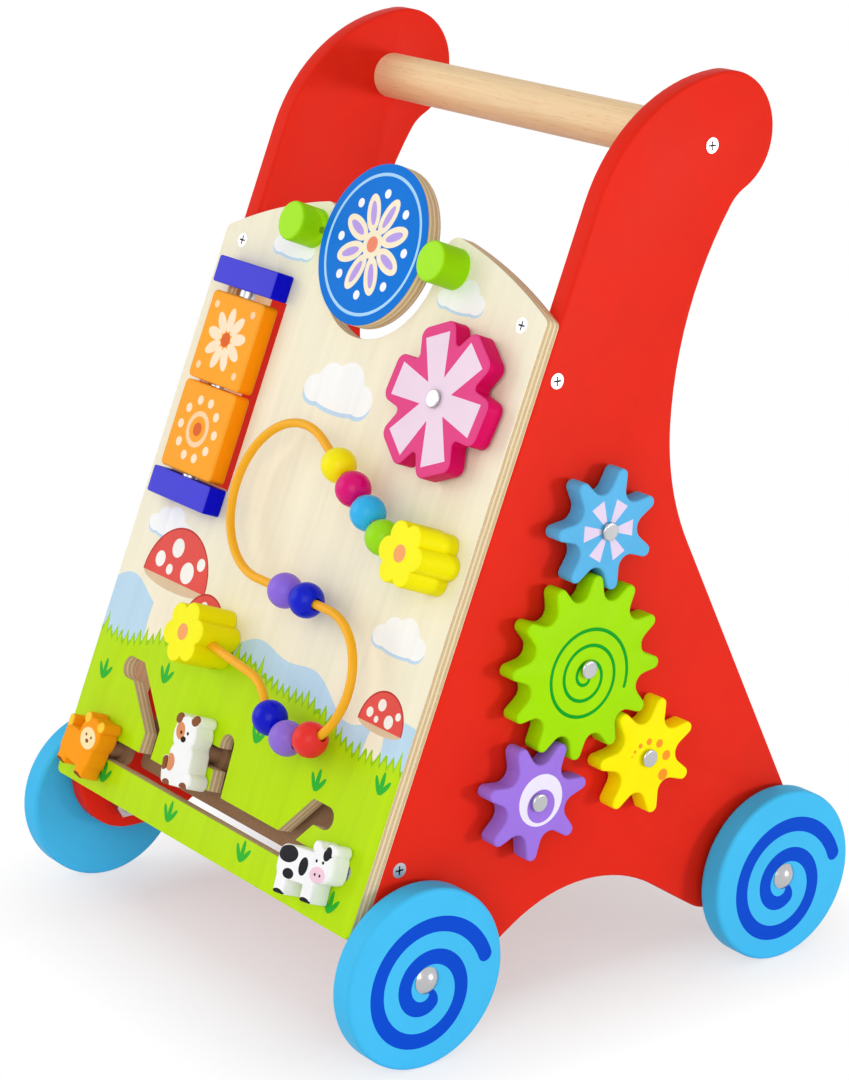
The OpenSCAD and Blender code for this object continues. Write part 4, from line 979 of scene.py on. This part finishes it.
# %% Turning disc and knobs
disc_low, disc_high = board_box("turning_disc")
disc_middle = (disc_low + disc_high) / 2
disc_half_thickness = (disc_high.z - disc_low.z) / 2
DISC_INK_DEPTH = 0.3
RIM_LINE_RADIUS, RIM_LINE_HALF_WIDTH = 39.0, 0.9


def disc_finish():
    made, tree, shader, place = start_material("printed blue disc")
    on_face = moved(tree, moved(tree, place, **on_board), tuple(disc_middle))
    local = axes(tree, on_face)
    folded = rosette(tree, local, 8, 1 / 16)
    between = rosette(tree, local, 8)
    colour = srgb(0, 116, 214)
    rim = near_to(tree, folded["Radius"], RIM_LINE_RADIUS, RIM_LINE_HALF_WIDTH)
    for mask, tint in (
        (rim, srgb(168, 214, 248)),
        (spots(tree, folded, [(18, 0, 11, 5.6, 0)]), srgb(250, 236, 206)),
        (spots(tree, folded, [(18, 0, 7, 2.4, 0)]), srgb(186, 160, 232)),
        (dots(tree, between, [(28.5, 0, 2.6)]), srgb(246, 248, 252)),
        (dots(tree, local, [(0, 0, 8)]), srgb(250, 236, 206)),
        (dots(tree, local, [(0, 0, 4.5)]), srgb(240, 140, 110)),
    ):
        colour = lay(tree, mask, colour, tint)
    edge = use(tree, ply_edge, {"Place": on_face})
    from_middle = calc(tree, "ABSOLUTE", local[2])
    face = calc(tree, "GREATER_THAN", from_middle, disc_half_thickness - DISC_INK_DEPTH)
    film = use(tree, paint_film, {"Place": place, "Colour": colour, "Roughness": 0.4})
    shader.inputs["Specular IOR Level"].default_value = PAINT_SPECULAR
    shown = lay(tree, face, edge["Colour"], film["Colour"])
    rough = spread(tree, face, 0, 1, 0.65, 0.4)
    end_material(tree, shader, shown, rough, film["Height"], relief=0.02)
    return made


sanded("turning_disc", 0.4, disc_finish(), out_of_board)
# The knob faces are painted a paler green than their sides, as painted sheen on the faces and painted shade
# on the sides.
for knob in ("left_knob", "right_knob"):
    dress(painted(knob + " paint", srgb(152, 224, 4), face_with_painted_sheen(knob, srgb(168, 234, 48))), knob)
print("disc and knobs painted")

# %% [markdown]
# ## Flip tiles and brackets
#
# Two orange tiles turn on one rod between two dark blue brackets. Their prints are a daisy and a ring of
# dots in the same peach tone, on both faces.

# %% Flip tiles and brackets
def daisy(tree, local, colour):
    petals = spots(tree, rosette(tree, local, 9, 0.03), [(11.5, 0, 7, 3.4, 0)])
    corners = dots(tree, local, [(x, y, 2.2) for x in (-18, 18) for y in (-18, 18)])
    colour = lay(tree, petals, colour, srgb(255, 230, 198))
    colour = lay(tree, corners, colour, srgb(255, 214, 168))
    return lay(tree, dots(tree, local, [(0, 0, 4.2)]), colour, srgb(226, 104, 50))


def dotted_ring(tree, local, colour):
    folded = rosette(tree, local, 10)
    colour = lay(tree, dots(tree, folded, [(17, 0, 2.7)]), colour, srgb(255, 230, 198))
    colour = lay(tree, near_to(tree, folded["Radius"], 9.0, 1.5), colour, srgb(255, 214, 168))
    return lay(tree, dots(tree, local, [(0, 0, 4.0)]), colour, srgb(226, 104, 50))


# Under the print, the tile faces are painted a paler orange than their sides, as painted sheen on the faces
# and painted shade on the sides.
for tile, figure in (("upper_tile", daisy), ("lower_tile", dotted_ring)):
    drawing = face_with_painted_sheen(tile, srgb(254, 167, 48), figure, 1.2)
    sanded(tile, 1.5, painted(tile + " paint", srgb(255, 146, 0), drawing))
# The bracket faces are painted a paler blue than their deep blue sides, as painted sheen on the faces and
# painted shade on the sides.
for bracket in ("upper_bracket", "lower_bracket"):
    drawing = face_with_painted_sheen(bracket, srgb(74, 72, 214))
    sanded(bracket, 1.2, painted(bracket + " paint", srgb(4, 4, 206), drawing))
print("tiles and brackets painted")

# %% [markdown]
# ## Flower spinner
#
# The flower is a scalloped wheel with six pale petals printed on a pink face. The face is painted a paler
# pink than the stronger magenta edge, as painted sheen on the face and painted shade on the edge.

# %% Flower spinner
PETAL_LENGTH, PETAL_ROOT, PETAL_FLARE = 35.0, 4.65, 0.13


def flower_petals(tree, local, colour):
    petal = rosette(tree, local, 6, -7 / 360)
    half_width = calc(tree, "MULTIPLY_ADD", petal["Along"], PETAL_FLARE, PETAL_ROOT)
    narrow = calc(tree, "LESS_THAN", petal["Aside"], half_width)
    mask = both(tree, narrow, calc(tree, "LESS_THAN", petal["Along"], PETAL_LENGTH))
    return lay(tree, mask, colour, srgb(240, 216, 233))


# Painted sheen and shade: the face is a paler pink than the magenta edge.
drawing = face_with_painted_sheen("flower_spinner", srgb(228, 72, 136), flower_petals, 0.5)
sanded("flower_spinner", 0.9, painted("flower paint", srgb(214, 4, 92), drawing), out_of_board)
print("flower painted")

# %% [markdown]
# ## Bead maze
#
# A bent steel wire with an orange coat carries nine beads between two yellow flower-shaped posts. The coat
# and the beads are glossier than the rest, so they catch small bright highlights.

# %% Bead maze
def middle_dot(tree, local, colour):
    return lay(tree, dots(tree, local, [(0, 0, 4.7)]), colour, srgb(248, 168, 104))


# The post faces are painted a paler yellow than their sides, as painted sheen on the faces and painted shade
# on the sides.
for post in ("upper_post", "lower_post"):
    drawing = face_with_painted_sheen(post, srgb(252, 245, 36), middle_dot, 0.5)
    sanded(post, 1.2, painted(post + " paint", srgb(238, 228, 0), drawing), out_of_board)
glossy = {"rough": 0.26, "coat": 0.18}
dress(painted("orange wire coat", srgb(246, 176, 30), **glossy), "bead_wire")
for bead, colour in (
    ("yellow_bead", srgb(250, 236, 4)),
    ("magenta_bead", srgb(222, 8, 116)),
    ("sky_bead", srgb(50, 180, 238)),
    ("green_bead", srgb(154, 222, 14)),
    ("violet_bead", srgb(142, 106, 222)),
    ("navy_bead", srgb(8, 28, 202)),
    ("blue_bead", srgb(4, 16, 198)),
    ("purple_bead", srgb(146, 110, 214)),
    ("red_bead", srgb(234, 50, 44)),
):
    dress(painted(bead + " paint", colour, **glossy), bead)
print("wire, posts and beads painted")

# %% [markdown]
# ## Slot sliders
#
# Three flat animals slide along the slot: an orange lion, a white dog and a spotted cow. Each one is drawn
# around its own peg and tilted with it. Their faces are only dots for eyes and nose. Behind each, a brown peg
# goes through the slot to a disc that keeps it in.

# %% Prints of the sliders
SLIDER_INK_DEPTH = 1.3


def slider_print(animal, turn, figure):
    """Drawing for an animal: marks around its peg, on the front face only."""
    low, high = board_box(animal + "_peg")
    peg = ((low.x + high.x) / 2, (low.y + high.y) / 2, 0)
    front = board_box(animal + "_slider")[1].z

    def draw(tree, place, colour):
        turned = moved(tree, moved(tree, place, **on_board), peg, (0, 0, math.radians(turn)))
        local = axes(tree, turned)
        face = calc(tree, "GREATER_THAN", local[2], front - SLIDER_INK_DEPTH)
        for mask, tint in figure(tree, local):
            colour = lay(tree, both(tree, face, mask), colour, tint)
        return colour
    return draw


def lion_marks(tree, local):
    brown = srgb(140, 74, 22)
    ears_and_tail = [(-8.8, 12.8, 3, 3, 0), (6.2, 12.8, 3, 3, 0), (-23.5, 5, 3, 4, 0)]
    nose_and_feet = [(-1.3, 1, 1.6, 1.1, 0), (-19, -20, 4.5, 2.4, 0), (1.4, -20, 4.5, 2.4, 0)]
    return (
        (spots(tree, local, ears_and_tail), srgb(255, 208, 62)),
        (spots(tree, local, [(-1.3, 2.6, 7.6, 6.2, 0)]), srgb(255, 232, 176)),
        (dots(tree, local, [(-4, 4, 0.9), (1.4, 4, 0.9)]), brown),
        (spots(tree, local, nose_and_feet), brown),
    )


def dog_marks(tree, local):
    brown, dark = srgb(140, 84, 52), srgb(36, 28, 24)
    ears_and_tail = [(-9.6, 16, 3.4, 3.2, 0), (5.4, 16, 3.4, 3.2, 0), (-14.6, -10, 2.6, 4, 0)]
    return (
        (spots(tree, local, [(-6, 9, 4, 5, 20), (-9.5, -9, 4, 5, 15)]), srgb(224, 146, 98)),
        (spots(tree, local, ears_and_tail), brown),
        (spots(tree, local, [(-10, -20.4, 3.4, 2, 0), (6, -20.4, 3.4, 2, 0)]), brown),
        (dots(tree, local, [(-5.2, 8.2, 1), (1, 8.2, 1)]), dark),
        (spots(tree, local, [(-2.1, 4.6, 2.4, 1.7, 0)]), dark),
    )


def cow_marks(tree, local):
    black = srgb(34, 34, 40)
    patches = [(-9, 3, 8, 4.6, 5), (5, -1, 3.6, 5, -10), (-6, -7, 4.6, 2.8, 0), (22, 9, 3, 4, -20)]
    hooves = [(-11.4, -18.4, 4.6, 2.4, 0), (11.4, -18.4, 4.6, 2.4, 0)]
    return (
        (spots(tree, local, patches + hooves), black),
        (spots(tree, local, [(17.5, -3, 6.4, 4.2, 0)]), srgb(246, 206, 222)),
        (dots(tree, local, [(15.5, -3, 0.8), (19.5, -3, 0.8), (14.5, 4, 0.9), (20, 4, 0.9)]), black),
    )


print("marks of three animals can be drawn")

# %% Slot sliders
brown_peg = wooden("stained peg wood", srgb(168, 132, 102), srgb(122, 90, 66), 0.2)
for animal, colour, turn, figure in (
    ("lion", srgb(254, 158, 14), -8, lion_marks),
    ("dog", srgb(248, 248, 246), 9, dog_marks),
    ("cow", srgb(248, 248, 248), 7, cow_marks),
):
    slider = animal + "_slider"
    drawing = slider_print(animal, turn, figure)
    sanded(slider, 1.3, painted(slider + " paint", colour, drawing), out_of_board)
    dress(brown_peg, animal + "_peg")
    dress(brown_board, animal + "_disc")
print("three sliders painted")

# %% [markdown]
# ## Screws, bolts, pins and rods
#
# All the hardware is plated steel. Bolts, pins and rods are polished, while screws, nuts and washers are a
# little duller. The cross in a screw head is dark, because hardly any light comes out of it: everything of a
# screw that lies a little deeper than the face around it gets a dark tone.

# %% Hardware
panel_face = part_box("right_panel")[1].x / MM
RECESS_DEPTH = 0.5


def below_panel(tree, place):
    """Mask of what lies deeper than the outer face of a panel."""
    return calc(tree, "LESS_THAN", calc(tree, "ABSOLUTE", axes(tree, place)[0]), panel_face - RECESS_DEPTH)


def below_board(tree, place):
    """Mask of what lies deeper than the printed face of the board."""
    return calc(tree, "LESS_THAN", axes(tree, moved(tree, place, **on_board))[2], -RECESS_DEPTH)


zinc = {"colour": srgb(196, 196, 198), "rough": 0.34}
bright = plated("polished steel", srgb(190, 190, 192), rough=0.2)
dull = plated("zinc-plated steel", **zinc)
dress(bright, "axle_bolts", "disc_rod", "tile_rod", "gear_pins", "flower_pin")
dress(plated("panel screw steel", **zinc, recess=below_panel), "panel_screws")
dress(plated("board screw steel", **zinc, recess=below_board), "board_screws")
dress(dull, "guard_screws", "toy_screws", "axle_nuts", "wheel_washers")
dress(dull, "gear_washers", "tile_washers", "flower_washer")
bare = [name for name, node in nodes.items() if not node.hide_render and not node.data.materials]
print("nodes without a finish:", bare)
